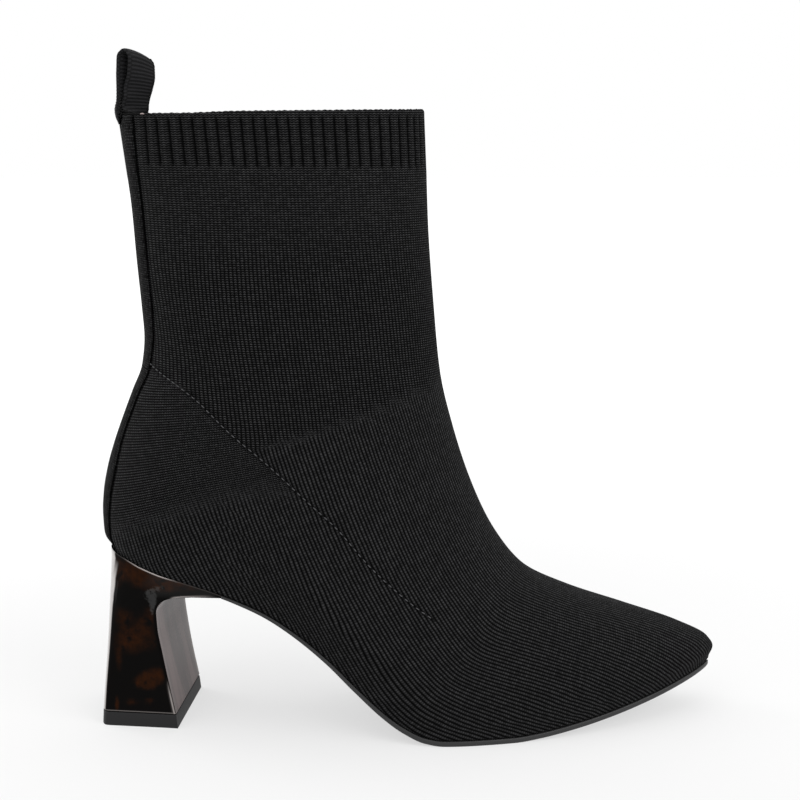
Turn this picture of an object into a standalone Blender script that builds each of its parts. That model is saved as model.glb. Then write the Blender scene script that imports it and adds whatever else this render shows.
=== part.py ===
"""Stretch ankle boot for the right foot: a knitted sock upper on a flared block heel.

The boot stands on its heel and its forefoot, toe towards +X, outer (lateral) side towards -Y, +Z up.
Sizes are in millimetres; they become metres where a mesh is made.
The upper is a family of closed sections. The lowest follows the edge of the sole, the highest is the
collar, and each one between runs from the back of the heel to the front line of the foot and shaft.
"""

import math

import bmesh
import bpy
import numpy as np
from mathutils import Matrix

MM = 0.001

# Driving sizes of the last, in millimetres.
BOOT_LENGTH = 247.0
BALL_WIDTH = 83.0
SEAT_HEIGHT = 66.5
COLLAR_HEIGHT = 240.5

# Materials' real thicknesses and the clearance between touching pieces.
WALL = 2.0
GAP = 0.3
WING_EDGE = 0.6
INSOLE = 2.5
LIFT = 5.4
TAPE = 0.9
WEBBING = 1.3

# Details of the upper.
CORNER = 3.0
LASTING_MARGIN = 9.0
RIB_COUNT = 56
RIB_DEPTH = 0.7
RIB_GROOVE = 0.18
RIB_BAND = 22.0
RIB_FADE = 2.5
INSTEP_LEVEL = 4.0
TAPE_JOINT_LEVEL = 8.0
TAPE_JOINT_STEP = 0.04
TAPE_TOP_LEVEL = 13.75
TAPE_EDGE_DROP = 0.55
TAPE_EDGE_POWER = 6
AROUND = 64
FOOT_STEP = 0.5
INSTEP_RINGS = 6
SHAFT_RINGS = 6
BAND_CLEARANCE = 0.2

# Half widths of the two tapes down the back seam and the step across them, in columns of the upper.
COUNTER_TAPE_COLUMNS = 2.5
SHAFT_TAPE_COLUMNS = 3.0
TAPE_COLUMN_STEP = 0.5

# Details of the outsole, insole, heel and loop.
SOLE_EDGE_INSET = 0.2
INSOLE_INSET = 3.7
WING_TIP = 49.5
STATION_SPARE = 3.0
SEAT_CAP, SEAT_SQUARE = 27.0, 2.0
BACK_CROWDING = 1.25
BREAST_SKEW = 0.08
BREAST_SHARE = 0.125
LIFT_FLARE = 0.6
WEBBING_WIDTH = 14.0

# Thickness of the outsole along the boot: thin behind the arch, full under the ball.
SOLE_DEPTH_COLUMNS = ("along", "thickness")
SOLE_DEPTH = ((WING_TIP, 0.6), (75.0, 0.8), (100.0, 1.5), (130.0, 1.9), (BOOT_LENGTH, 1.9))

# Edges of the outsole and the insole, from one face to the other: how far in, share of the thickness.
SOLE_EDGE = ((0.5, 0.0), (0.0, 0.2), (0.0, 0.75), (0.5, 1.0))
INSOLE_EDGE = ((0.0, 0.0), (-0.5, 0.6), (0.3, 1.0))

# How near to the ends of the sole an inset shortens it, and the least half width, in insets, that it narrows.
END_SHARE = 0.16
LEAST_HALF = 2.2

# Height of the upper's underside along the boot: distance from the heel's back, height.
SOLE_LINE_COLUMNS = ("along", "height")
SOLE_LINE = (
    (0.0, 67.6),
    (14.0, 64.8),
    (27.0, 61.2),
    (38.0, 58.4),
    (48.0, 55.8),
    (57.0, 52.3),
    (67.0, 47.5),
    (79.0, 39.7),
    (91.0, 30.4),
    (102.0, 20.4),
    (113.0, 11.3),
    (121.0, 6.3),
    (129.0, 3.1),
    (136.0, 2.2),
    (163.0, 2.2),
    (173.0, 3.0),
    (187.0, 5.0),
    (203.0, 8.0),
    (220.0, 11.9),
    (236.0, 16.1),
    (247.0, 19.2),
)

# Sideways place of the middle line along the boot, positive towards the inner side of the foot.
SWING_COLUMNS = ("along", "aside")
SWING = (
    (0.0, 2.4),
    (30.0, 0.8),
    (60.0, -1.8),
    (90.0, -3.8),
    (120.0, -3.8),
    (150.0, -2.4),
    (190.0, 0.2),
    (220.0, 3.0),
    (247.0, 6.0),
)

# Sections of the last, from the edge of the sole to the collar, one row a section.
#   back_in    ahead of the heel's back          back_up   above the heel seat
#   toe_in     behind the toe tip                front_up  above the floor
#   sag        share of the sole's curve         heel, waist, ball  widths as shares of BALL_WIDTH
#   back_cap, front_cap  lengths of the round ends          point  0 round front, 1 pointed toe
#   even       0 stations crowd at the ends, 1 they are evenly spaced round the section
SECTION_COLUMNS = (
    "back_in", "back_up", "toe_in", "front_up", "sag", "heel", "waist", "ball", "back_cap", "front_cap",
    "point", "even",
)
SECTIONS = (
    (3.2, 3.6, 1.5, 20.6, 1.00, 0.66, 0.61, 0.985, 30.0, 99.0, 0.95, 0.0),
    (1.5, 9.5, 0.0, 24.6, 0.96, 0.70, 0.68, 1.00, 32.0, 100.0, 0.75, 0.0),
    (1.2, 17.0, 2.8, 29.2, 0.88, 0.72, 0.74, 0.99, 33.0, 100.0, 0.50, 0.0),
    (1.8, 25.0, 14.4, 35.2, 0.78, 0.735, 0.78, 0.95, 34.0, 95.0, 0.28, 0.0),
    (3.7, 34.8, 34.6, 42.3, 0.65, 0.75, 0.80, 0.90, 35.0, 85.0, 0.12, 0.05),
    (6.6, 44.5, 56.6, 49.6, 0.52, 0.76, 0.815, 0.86, 37.0, 74.0, 0.0, 0.10),
    (10.1, 54.2, 76.6, 59.2, 0.38, 0.77, 0.82, 0.83, 40.0, 64.0, 0.0, 0.18),
    (14.3, 65.0, 90.0, 75.0, 0.25, 0.78, 0.82, 0.81, 43.0, 58.0, 0.0, 0.28),
    (18.4, 75.5, 99.3, 94.0, 0.14, 0.79, 0.81, 0.80, 46.0, 56.0, 0.0, 0.40),
    (19.6, 87.0, 107.0, 117.0, 0.06, 0.785, 0.79, 0.79, 49.0, 56.0, 0.0, 0.55),
    (18.8, 99.5, 112.4, 140.0, 0.0, 0.77, 0.77, 0.77, 51.0, 56.0, 0.0, 0.70),
    (17.4, 116.0, 115.0, 166.5, 0.0, 0.74, 0.74, 0.74, 51.0, 54.0, 0.0, 0.85),
    (15.8, 138.0, 117.2, 197.0, 0.0, 0.70, 0.70, 0.70, 50.0, 51.0, 0.0, 1.0),
    (13.7, 155.0, 118.0, 220.5, 0.0, 0.675, 0.675, 0.675, 48.0, 49.0, 0.0, 1.0),
    (11.4, 172.8, 118.8, 240.5, 0.0, 0.66, 0.66, 0.66, 46.0, 47.0, 0.0, 1.0),
)
STATION_HEEL, STATION_WAIST, STATION_BALL = 0.14, 0.29, 0.585
BALL_SKEW = 0.022
POINT_POWER, POINT_ROOT = 0.45, 0.22

# Sections of the heel block, from its foot to the seat, one row a section.
#   back_in, back_z    middle of the back                front_x, front_z  breast or tip of the wing
#   back_half, front_half  half widths
#   cap        length of the round back                  square  2 for a round back, more for a squarer one
#   skew       how far the breast is turned to the heel's own axis, as a share of BREAST_SKEW
HEEL_COLUMNS = (
    "back_in", "back_z", "front_x", "front_z", "back_half", "front_half", "cap", "square", "skew",
)
HEEL_SECTIONS = (
    (0.1, 5.7, 32.4, 5.7, 21.6, 24.2, 5.0, 4.5, 0.9),
    (0.9, 18.0, 29.9, 18.0, 21.2, 23.6, 6.5, 4.0, 1.0),
    (1.8, 30.6, 27.7, 30.6, 21.2, 23.3, 8.5, 3.6, 1.15),
    (2.5, 40.5, 26.3, 40.5, 21.6, 23.4, 11.0, 3.2, 1.3),
    (2.9, 47.0, 26.1, 46.8, 22.2, 23.7, 14.0, 2.8, 1.35),
    (3.0, 51.0, 27.3, 50.6, 22.8, 24.0, 17.0, 2.5, 1.2),
    (3.3, 54.4, 30.8, 52.9, 23.5, 24.4, 20.0, 2.3, 0.8),
    (3.5, 58.4, 38.4, 53.7, 24.6, 24.6, 23.0, 2.1, 0.3),
)

# Pull loop: middle line of the webbing, its turn about the upright in degrees, the bow across its width
# and how far the inner edge dips below the outer one.
LOOP_COLUMNS = ("along", "height", "turn", "bow", "dip")
LOOP_PATH = (
    (10.9, 235.3, 4.0, 1.2, 0.0),
    (9.9, 240.6, 4.0, 1.2, 0.0),
    (12.5, 244.6, 20.0, 0.8, 0.2),
    (14.4, 249.2, 33.0, 0.2, 0.8),
    (15.2, 254.8, 39.0, 0.0, 1.6),
    (15.5, 259.4, 40.0, 0.0, 2.4),
    (17.4, 261.5, 40.0, 0.0, 2.8),
    (19.6, 259.0, 36.0, 0.0, 2.6),
    (19.4, 254.0, 39.0, 0.0, 1.6),
    (18.2, 249.0, 41.0, 0.0, 1.0),
    (17.3, 245.2, 36.0, 0.2, 0.5),
    (16.8, 242.2, 26.0, 0.6, 0.2),
    (17.0, 239.4, 12.0, 1.4, 0.0),
    (15.8, 235.2, 5.0, 1.9, 0.0),
    (16.4, 229.6, 4.0, 1.9, 0.0),
)
LOOP_STEPS = 42

# Colour, roughness and metallic value of each material.
KNIT_BLACK = (0.012, 0.012, 0.013), 0.85, 0.0
WEBBING_BLACK = (0.014, 0.014, 0.015), 0.75, 0.0
RUBBER_BLACK = (0.016, 0.016, 0.017), 0.55, 0.0
LINING_BLACK = (0.020, 0.019, 0.019), 0.80, 0.0
TORTOISE_BROWN = (0.030, 0.014, 0.007), 0.12, 0.0


def columns_of(names, rows):
    """A table's columns by name."""
    return dict(zip(names, np.array(rows, float).T))


def smooth(places, values, at):
    """A monotone cubic through a table's column, held level outside the table."""
    at = np.clip(np.asarray(at, float), places[0], places[-1])
    step = np.diff(places)
    slope = np.diff(values) / step
    tangent = np.zeros(len(values))
    tangent[0], tangent[-1] = slope[0], slope[-1]
    same_way = slope[:-1] * slope[1:] > 0
    weight = step[1:] + 2 * step[:-1], 2 * step[1:] + step[:-1]
    with np.errstate(divide="ignore", invalid="ignore"):
        mean = (weight[0] + weight[1]) / (weight[0] / slope[:-1] + weight[1] / slope[1:])
    tangent[1:-1] = np.where(same_way, mean, 0.0)
    i = np.clip(np.searchsorted(places, at, side="right") - 1, 0, len(step) - 1)
    t = (at - places[i]) / step[i]
    rise = values[i + 1] - values[i]
    bend_a = step[i] * tangent[i] - rise
    bend_b = rise - step[i] * tangent[i + 1]
    return values[i] + rise * t + t * (1 - t) * ((1 - t) * bend_a + t * bend_b)


LINE = columns_of(SOLE_LINE_COLUMNS, SOLE_LINE)
DEPTH = columns_of(SOLE_DEPTH_COLUMNS, SOLE_DEPTH)
MIDDLE = columns_of(SWING_COLUMNS, SWING)
SECTION = columns_of(SECTION_COLUMNS, SECTIONS)
HEEL = columns_of(HEEL_COLUMNS, HEEL_SECTIONS)
LOOP = columns_of(LOOP_COLUMNS, LOOP_PATH)
TOP_LEVEL = len(SECTIONS) - 1.0


def sole_height(along, out=0.0):
    """Height of the upper's underside, moved by out square to the line."""
    nudge = 0.5
    places = (along - nudge, along, along + nudge)
    behind, here, ahead = (smooth(LINE["along"], LINE["height"], place) for place in places)
    slope = (ahead - behind) / (2 * nudge)
    return here + out * np.sqrt(1 + slope**2)


def middle(along):
    return smooth(MIDDLE["along"], MIDDLE["aside"], along)


def section_row(level):
    """The section table's values at a level, which may lie between two rows."""
    rows = np.arange(len(SECTIONS), dtype=float)
    return {name: float(smooth(rows, values, level)) for name, values in SECTION.items()}


def round_end(share, power, root):
    share = np.clip(share, 0.0, 1.0)
    return (1 - (1 - share) ** power) ** root


def half_width(row, share, side):
    """Half width of a section at a share of its length; side is -1 on the outer side, 1 on the inner."""
    widths = np.array([row["heel"], row["heel"], row["waist"], row["ball"], row["ball"]]) * BALL_WIDTH / 2
    ball = STATION_BALL + side * BALL_SKEW
    places = np.array([0.0, STATION_HEEL, STATION_WAIST, ball, 1.0])
    length = BOOT_LENGTH - row["toe_in"] - row["back_in"]
    back = round_end(share * length / row["back_cap"], 2.0, 0.5)
    power, root = 2.0 - POINT_POWER * row["point"], 0.5 + POINT_ROOT * row["point"]
    front_cap = row["front_cap"] * (1 - side * BALL_SKEW / (1 - STATION_BALL))
    front = round_end((1 - share) * length / front_cap, power, root)
    return smooth(places, widths, share) * back * front


def aside(row, share, around):
    """Signed half widths for places around a section, the outer side negative."""
    outer = np.mod(around, 1.0) < 0.5
    return np.where(outer, -half_width(row, share, -1), half_width(row, share, 1))


def section_line(row, share):
    """Where a section runs in the boot's side view."""
    start, end = row["back_in"], BOOT_LENGTH - row["toe_in"]
    low, high = SEAT_HEIGHT + row["back_up"], row["front_up"]
    edge_start, edge_end = SECTION["back_in"][0], BOOT_LENGTH - SECTION["toe_in"][0]
    edge = edge_start + share * (edge_end - edge_start)
    chord = sole_height(edge_start) + share * (sole_height(edge_end) - sole_height(edge_start))
    sag = row["sag"] * (sole_height(edge) - chord)
    return start + share * (end - start), low + share * (high - low) + sag


def stations(row, around):
    """Shares of a section's length for places around it: 0 and 1 at the back, a half at the front."""
    fold = 1 - np.abs(1 - 2 * np.mod(around, 1.0))
    crowded = (1 - np.cos(np.pi * fold)) / 2
    fine = (1 - np.cos(np.linspace(0, np.pi, 361))) / 2
    along, height = section_line(row, fine)
    steps = np.sqrt(np.diff(along) ** 2 + np.diff(height) ** 2 + np.diff(half_width(row, fine, 0)) ** 2)
    run = np.concatenate([[0.0], np.cumsum(steps)])
    even = np.interp(fold * run[-1], run, fine)
    return crowded + row["even"] * (even - crowded)


def section(level, around):
    """Points of the last's outside at a level, as an array of x, y, z."""
    row = section_row(level)
    share = stations(row, around)
    along, height = section_line(row, share)
    return np.stack([along, middle(along) + aside(row, share, around), height], axis=-1)


def outward(level, around):
    """Unit vectors square to the last's outside."""
    small_level, small_turn = 0.02, 0.0015
    top, bottom = min(level + small_level, TOP_LEVEL), max(level - small_level, 0.0)
    up = section(top, around) - section(bottom, around)
    round_about = section(level, around + small_turn) - section(level, around - small_turn)
    square = np.cross(round_about, up)
    return square / np.linalg.norm(square, axis=-1, keepdims=True)


def skin(level, around, out):
    """The last's outside moved out by a distance; a negative one moves inwards."""
    return section(level, around) + out * outward(level, around)


def sole_outline(around, inset, out):
    """The edge of the sole taken in by inset in plan, at a distance square to the upper's underside."""
    row = section_row(0.0)
    share = stations(row, around)
    length = BOOT_LENGTH - row["toe_in"] - row["back_in"]
    near_back = np.clip(1 - share / END_SHARE, 0, 1) ** 2
    near_toe = np.clip(1 - (1 - share) / END_SHARE, 0, 1) ** 2
    along = row["back_in"] + share * length + inset * (near_back - near_toe)
    half = aside(row, share, around)
    tiny = 0.01
    half = half * (1 - inset / np.maximum(np.abs(half), LEAST_HALF * inset + tiny))
    return np.stack([along, middle(along) + half, sole_height(along, out)], axis=-1)


def turns(count):
    return np.arange(count) / count


def principled(name, colour, roughness, metallic):
    material = bpy.data.materials.new(name)
    material.use_nodes = True
    shader = material.node_tree.nodes["Principled BSDF"]
    shader.inputs["Base Color"].default_value = (*colour, 1.0)
    shader.inputs["Roughness"].default_value = roughness
    shader.inputs["Metallic"].default_value = metallic
    return material


def add_object(name, bm, material, parent, sharp_angle=40.0):
    """Makes a named object of a mesh, shaded smooth but for its sharp edges."""
    bmesh.ops.recalc_face_normals(bm, faces=bm.faces)
    mesh = bpy.data.meshes.new(name)
    bm.to_mesh(mesh)
    bm.free()
    mesh.shade_smooth()
    mesh.set_sharp_from_angle(angle=math.radians(sharp_angle))
    mesh.materials.append(material)
    obj = bpy.data.objects.new(name, mesh)
    bpy.context.scene.collection.objects.link(obj)
    obj.parent = parent
    return obj


def add_ring(bm, points):
    return [bm.verts.new(point) for point in np.asarray(points) * MM]


def bridge(bm, lower, upper):
    """Faces between two closed rings; where their counts differ, triangles share them out evenly."""
    count, other = len(lower), len(upper)
    if count == other:
        for i in range(count):
            j = (i + 1) % count
            bm.faces.new((lower[i], lower[j], upper[j], upper[i]))
        return
    i = j = 0
    while i < count or j < other:
        if j >= other or (i < count and (i + 0.5) / count <= (j + 0.5) / other):
            bm.faces.new((lower[i], lower[(i + 1) % count], upper[j % other]))
            i += 1
        else:
            bm.faces.new((lower[i % count], upper[(j + 1) % other], upper[j]))
            j += 1


def ladder(bm, ring):
    """Closes a ring that is alike on both sides of its middle with rungs across."""
    count = len(ring)
    half = count // 2
    bm.faces.new((ring[0], ring[1], ring[-1]))
    for i in range(1, half - 1):
        bm.faces.new((ring[i], ring[i + 1], ring[count - i - 1], ring[count - i]))
    bm.faces.new((ring[half - 1], ring[half], ring[half + 1]))


def loft(bm, rings):
    rows = [add_ring(bm, ring) for ring in rings]
    for lower, upper in zip(rows, rows[1:]):
        bridge(bm, lower, upper)
    return rows


def rib_groove(around):
    """How deep the rib band is cut at each place around it, from 0 on a rib to 1 in a groove."""
    across = np.abs(np.mod(around * RIB_COUNT + 0.5, 1.0) - 0.5)
    under_tape = np.abs(np.mod(around + 0.5, 1.0) - 0.5) < SHAFT_TAPE_COLUMNS / AROUND
    return np.where(under_tape, 0.0, np.clip(1 - across / RIB_GROOVE, 0.0, 1.0))


def level_at_height(height):
    """The level whose front stands at a height on the shaft."""
    rows = np.arange(len(SECTIONS), dtype=float)
    return float(np.interp(height, SECTION["front_up"], rows))


def foot_levels():
    """Levels of the plain knit: close on the foot, wider apart on the shaft."""
    low = np.arange(0.0, INSTEP_LEVEL, FOOT_STEP)
    instep = np.linspace(INSTEP_LEVEL, TAPE_JOINT_LEVEL, INSTEP_RINGS)
    band_foot = level_at_height(COLLAR_HEIGHT - RIB_BAND)
    shaft = np.linspace(TAPE_JOINT_LEVEL, band_foot - BAND_CLEARANCE, SHAFT_RINGS)
    return np.concatenate([low, instep, shaft[1:]])


def build_upper(material, parent):
    """One hollow knitted wall, open at the collar and, inside its lasting margin, underneath."""
    around = turns(AROUND)
    bm = bmesh.new()
    corner_step = CORNER * (1 - math.sqrt(0.5))
    rings = [
        sole_outline(around, CORNER + LASTING_MARGIN, 0.0),
        sole_outline(around, CORNER, 0.0),
        sole_outline(around, corner_step, corner_step),
    ]
    rings += [section(level, around) for level in foot_levels()]
    points_per_rib = np.array([0.0, RIB_GROOVE, 1.0 - RIB_GROOVE])
    fine = ((np.arange(RIB_COUNT)[:, None] + points_per_rib) / RIB_COUNT).ravel()
    band_foot = COLLAR_HEIGHT - RIB_BAND
    rib_rows = ((band_foot, 0.0), (band_foot + RIB_FADE, 1.0), (COLLAR_HEIGHT, 1.0))
    for height, depth in rib_rows:
        level = level_at_height(height)
        ring = section(level, fine)
        rings.append(ring - outward(level, fine) * (RIB_DEPTH * depth * rib_groove(fine))[:, None])
    loft(bm, rings)
    upper = add_object("upper", bm, material, parent)
    wall = upper.modifiers.new("knit wall", "SOLIDIFY")
    wall.thickness = WALL * MM
    wall.offset = -1.0
    wall.use_even_offset = True
    return upper


def build_tape(name, levels, half_columns, material, parent):
    """A strip of tape down the back seam, lying on the upper between two levels."""
    columns = np.arange(-half_columns, half_columns + TAPE_COLUMN_STEP, TAPE_COLUMN_STEP)
    across = columns / half_columns
    places = columns / AROUND
    crown = GAP + TAPE * (1 - TAPE_EDGE_DROP * np.abs(across) ** TAPE_EDGE_POWER)
    bm = bmesh.new()
    rings = []
    for level in levels:
        under = skin(level, places, GAP)
        over = section(level, places) + outward(level, places) * crown[:, None]
        rings.append(np.concatenate([under, over[::-1]]))
    rows = loft(bm, rings)
    for row in (rows[0], rows[-1]):
        for i in range(len(across) - 1):
            bm.faces.new((row[i], row[i + 1], row[-i - 2], row[-i - 1]))
    return add_object(name, bm, material, parent)


def sole_thickness(along):
    return smooth(DEPTH["along"], DEPTH["thickness"], along)


def sole_stations():
    """Places around the sole's edge ahead of the heel's wing, one side and then back along the other."""
    places = turns(AROUND)[: AROUND // 2 + 1]
    along = sole_outline(places, SOLE_EDGE_INSET, 0.0)[:, 0]
    start = np.interp(WING_TIP + GAP, along, places)
    kept = places[along > WING_TIP + STATION_SPARE]
    forward = np.concatenate([[start], kept])
    return np.concatenate([forward, 1 - forward[-2::-1]])


def close_strip(bm, ring):
    """Closes an open-ended outline, alike on both sides, with rungs across."""
    count = len(ring)
    half = count // 2
    for i in range(half - 1):
        bm.faces.new((ring[i], ring[i + 1], ring[count - i - 2], ring[count - i - 1]))
    bm.faces.new((ring[half - 1], ring[half], ring[half + 1]))


def build_outsole(material, parent):
    """A thin rubber sole from the heel's wing over the arch and ball to the sprung toe."""
    around = sole_stations()
    bm = bmesh.new()
    rows = []
    for inset, share in SOLE_EDGE:
        ring = sole_outline(around, SOLE_EDGE_INSET + inset, 0.0)
        along = ring[:, 0]
        ring[:, 2] = sole_height(along, -GAP - share * sole_thickness(along))
        rows.append(ring)
    rows = loft(bm, rows)
    close_strip(bm, rows[0])
    close_strip(bm, rows[-1])
    return add_object("outsole", bm, material, parent)


def build_insole(material, parent):
    """The insole board, lying inside on the lasting margin."""
    around = turns(AROUND)
    bm = bmesh.new()
    floor = WALL + GAP
    edge = [(INSOLE_INSET + inset, floor + share * INSOLE) for inset, share in INSOLE_EDGE]
    rows = loft(bm, [sole_outline(around, inset, out) for inset, out in edge])
    ladder(bm, rows[0])
    ladder(bm, rows[-1])
    return add_object("insole", bm, material, parent)


def heel_ring(row, around):
    """One section of the heel block: a round back, slanted sides and a straight breast."""
    fold = 1 - np.abs(1 - 2 * around)
    share = np.clip(fold / (1 - BREAST_SHARE), 0.0, 1.0)
    share = (1 - np.cos(np.pi * share / 2)) ** BACK_CROWDING
    length = row["front_x"] - row["back_in"]
    half = row["back_half"] + share * (row["front_half"] - row["back_half"])
    half = half * round_end(share * length / row["cap"], row["square"], 1 / row["square"])
    half = half * np.clip((1 - fold) / BREAST_SHARE, 0.0, 1.0)
    side = np.where(around < 0.5, -1.0, 1.0)
    along = row["back_in"] + share * length + share * row["skew"] * BREAST_SKEW * side * half
    height = row["back_z"] + share * (row["front_z"] - row["back_z"])
    return np.stack([along, middle(along) + side * half, height], axis=-1)


def heel_seat_ring(around, inset, out):
    """The heel block's upper edge, under the upper's seat and out along the wing."""
    row = {name: values[-1] for name, values in HEEL.items()}
    row.update(front_x=WING_TIP, skew=0.0, cap=SEAT_CAP, square=SEAT_SQUARE)
    row["back_in"] = SECTION["back_in"][0] + inset
    ring = heel_ring(row, around)
    edge = section_row(0.0)
    length = BOOT_LENGTH - edge["toe_in"] - edge["back_in"]
    share = np.clip((ring[:, 0] - edge["back_in"]) / length, 0.0, 1.0)
    edge_half = aside(edge, share, around)
    fold = 1 - np.abs(1 - 2 * around)
    breast = np.clip((1 - fold) / BREAST_SHARE, 0.0, 1.0)
    half = np.sign(edge_half) * np.maximum(np.abs(edge_half) - inset, 0.0) * breast
    ring[:, 1] = middle(ring[:, 0]) + half
    ring[:, 2] = sole_height(ring[:, 0], out)
    return ring


def build_heel(material, parent):
    """A block heel that flares to its foot, with a wing that runs forward under the waist."""
    around = turns(AROUND)
    bm = bmesh.new()
    rows = [{name: values[i] for name, values in HEEL.items()} for i in range(len(HEEL_SECTIONS))]
    rings = [heel_ring(row, around) for row in rows]
    rings.append(heel_seat_ring(around, SOLE_EDGE_INSET, -GAP - WING_EDGE))
    rings.append(heel_seat_ring(around, SOLE_EDGE_INSET, -GAP))
    made = loft(bm, rings)
    ladder(bm, made[0])
    ladder(bm, made[-1])
    return add_object("heel", bm, material, parent, sharp_angle=30.0)


def build_top_lift(material, parent):
    """The rubber tip that the heel stands on."""
    around = turns(AROUND)
    foot = {name: values[0] for name, values in HEEL.items()}
    rings = []
    for height, flare in ((0.0, LIFT_FLARE), (LIFT, 0.0)):
        row = dict(foot, back_z=height, front_z=height)
        row["back_in"] -= flare / 2
        row["front_x"] += flare
        row["back_half"] += flare / 2
        row["front_half"] += flare / 2
        rings.append(heel_ring(row, around))
    bm = bmesh.new()
    made = loft(bm, rings)
    ladder(bm, made[0])
    ladder(bm, made[-1])
    return add_object("top_lift", bm, material, parent, sharp_angle=30.0)


def build_pull_loop(material, parent):
    """A band of webbing over the back of the collar, one end outside the wall and one inside."""
    rows = np.arange(len(LOOP_PATH), dtype=float)
    at = np.linspace(0.0, rows[-1], LOOP_STEPS + 1)
    place = {name: smooth(rows, values, at) for name, values in LOOP.items()}
    path = np.stack([place["along"], np.zeros(len(at)), place["height"]], axis=-1)
    run = np.gradient(path, axis=0)
    run /= np.linalg.norm(run, axis=1, keepdims=True)
    turn = np.radians(place["turn"])
    width = np.stack([np.sin(turn), np.cos(turn), -place["dip"] / WEBBING_WIDTH], axis=-1)
    face = np.cross(width, run)
    face /= np.linalg.norm(face, axis=1, keepdims=True)
    across = np.array([-1.0, -0.5, 0.0, 0.5, 1.0])
    centre = float(middle(LOOP["along"][0]))
    rings = []
    for i in range(len(at)):
        spread = path[i] + np.outer(across, width[i]) * WEBBING_WIDTH / 2
        spread[:, 0] += place["bow"][i] * across**2
        spread[:, 1] += centre
        lift = face[i] * WEBBING / 2
        rings.append(np.concatenate([spread + lift, (spread - lift)[::-1]]))
    bm = bmesh.new()
    made = loft(bm, rings)
    for row in (made[0], made[-1]):
        for i in range(len(across) - 1):
            bm.faces.new((row[i], row[i + 1], row[-i - 2], row[-i - 1]))
    return add_object("pull_loop", bm, material, parent)


def centre_on_floor(boot):
    """Moves the whole boot so that the middle of its plan box is the origin; the floor stays at zero."""
    corners = np.array([vertex.co for piece in boot.children for vertex in piece.data.vertices])
    shift = -(corners.min(axis=0) + corners.max(axis=0)) / 2
    for piece in boot.children:
        piece.data.transform(Matrix.Translation((shift[0], shift[1], 0.0)))


def main():
    for obj in list(bpy.data.objects):
        bpy.data.objects.remove(obj)
    boot = bpy.data.objects.new("boot", None)
    bpy.context.scene.collection.objects.link(boot)
    knit = principled("black knit", *KNIT_BLACK)
    webbing = principled("black webbing", *WEBBING_BLACK)
    rubber = principled("black rubber", *RUBBER_BLACK)
    lining = principled("black lining", *LINING_BLACK)
    tortoise = principled("tortoiseshell", *TORTOISE_BROWN)
    levels = foot_levels()
    top = level_at_height(COLLAR_HEIGHT - RIB_BAND)
    build_upper(knit, boot)
    build_tape("counter_tape", levels[levels <= TAPE_JOINT_LEVEL], COUNTER_TAPE_COLUMNS, knit, boot)
    start = TAPE_JOINT_LEVEL + TAPE_JOINT_STEP
    shaft = np.concatenate([[start], levels[levels > TAPE_JOINT_LEVEL], [top, TAPE_TOP_LEVEL]])
    build_tape("shaft_tape", shaft, SHAFT_TAPE_COLUMNS, knit, boot)
    build_outsole(rubber, boot)
    build_insole(lining, boot)
    build_heel(tortoise, boot)
    build_top_lift(rubber, boot)
    build_pull_loop(webbing, boot)
    centre_on_floor(boot)


main()
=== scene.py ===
"""Looks of a knitted ankle boot for the right foot, laid out as an add-on and run as a script.

The shapes repeat the last that the boot was built on, in its own millimetres: x from the back of the heel to
the toe, y towards the inner side of the foot, z from the floor. They become metres of the frame where a mesh
is made. The knit is drawn by bump and colour along wales and courses that are worked out on the last.
"""

import math

import bmesh
import bpy
import numpy as np
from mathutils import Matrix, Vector


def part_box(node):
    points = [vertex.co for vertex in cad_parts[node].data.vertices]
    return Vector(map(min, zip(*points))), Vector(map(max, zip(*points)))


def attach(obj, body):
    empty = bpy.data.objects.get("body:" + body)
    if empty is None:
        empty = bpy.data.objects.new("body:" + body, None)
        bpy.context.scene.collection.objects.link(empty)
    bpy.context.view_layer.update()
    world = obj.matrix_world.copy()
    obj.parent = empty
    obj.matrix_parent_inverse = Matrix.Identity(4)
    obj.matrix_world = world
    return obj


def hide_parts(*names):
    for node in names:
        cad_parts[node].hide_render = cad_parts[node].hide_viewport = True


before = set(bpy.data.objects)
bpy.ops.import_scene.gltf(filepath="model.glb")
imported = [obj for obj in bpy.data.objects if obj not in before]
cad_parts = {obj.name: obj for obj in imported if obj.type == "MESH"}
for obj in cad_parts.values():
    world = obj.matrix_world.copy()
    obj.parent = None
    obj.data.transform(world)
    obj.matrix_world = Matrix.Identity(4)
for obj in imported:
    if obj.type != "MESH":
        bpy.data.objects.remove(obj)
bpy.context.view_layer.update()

bl_info = {
    "name": "Knitted Ankle Boot",
    "version": (1, 0, 0),
    "blender": (4, 5, 0),
    "location": "3D View > Sidebar > Boot",
    "description": "Makes a knitted ankle boot with a block heel, piece by piece, on its packed solids",
    "category": "Object",
}

MM = 0.001

# Driving sizes of the last and thicknesses of its pieces, in millimetres.
BOOT_LENGTH = 247.0
BALL_WIDTH = 83.0
SEAT_HEIGHT = 66.5
COLLAR_HEIGHT = 240.5
WALL = 2.0
GAP = 0.3
WING_EDGE = 0.6
INSOLE = 2.5
LIFT = 5.4
TAPE = 0.9
CORNER = 3.0
EDGE_ROUND = 1.4
LASTING_MARGIN = 9.0
TAPE_JOINT_LEVEL = 8.0
TAPE_TOP_LEVEL = 13.78
TAPE_SHOULDER = 0.16
RIBS_A_SIDE = 28
WALES_A_RIB = 3
SOLE_EDGE_INSET = 0.2
INSOLE_INSET = 3.7
WING_TIP = 49.5
BREAST_SKEW = 0.08
BREAST_SHARE = 0.125
LIFT_FLARE = 0.6
SEAT_OUT = 0.4
RIM_LIFT = 0.55
RIM_BACK = 0.9
TAPE_PUFF = 0.3
TAPE_TAPER = 4.5
TAPE_GROOVE = 0.5
SEAM_DENT = 0.35
TACK_PLACE = 0.070
TACK_REACH = 0.0075

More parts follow.
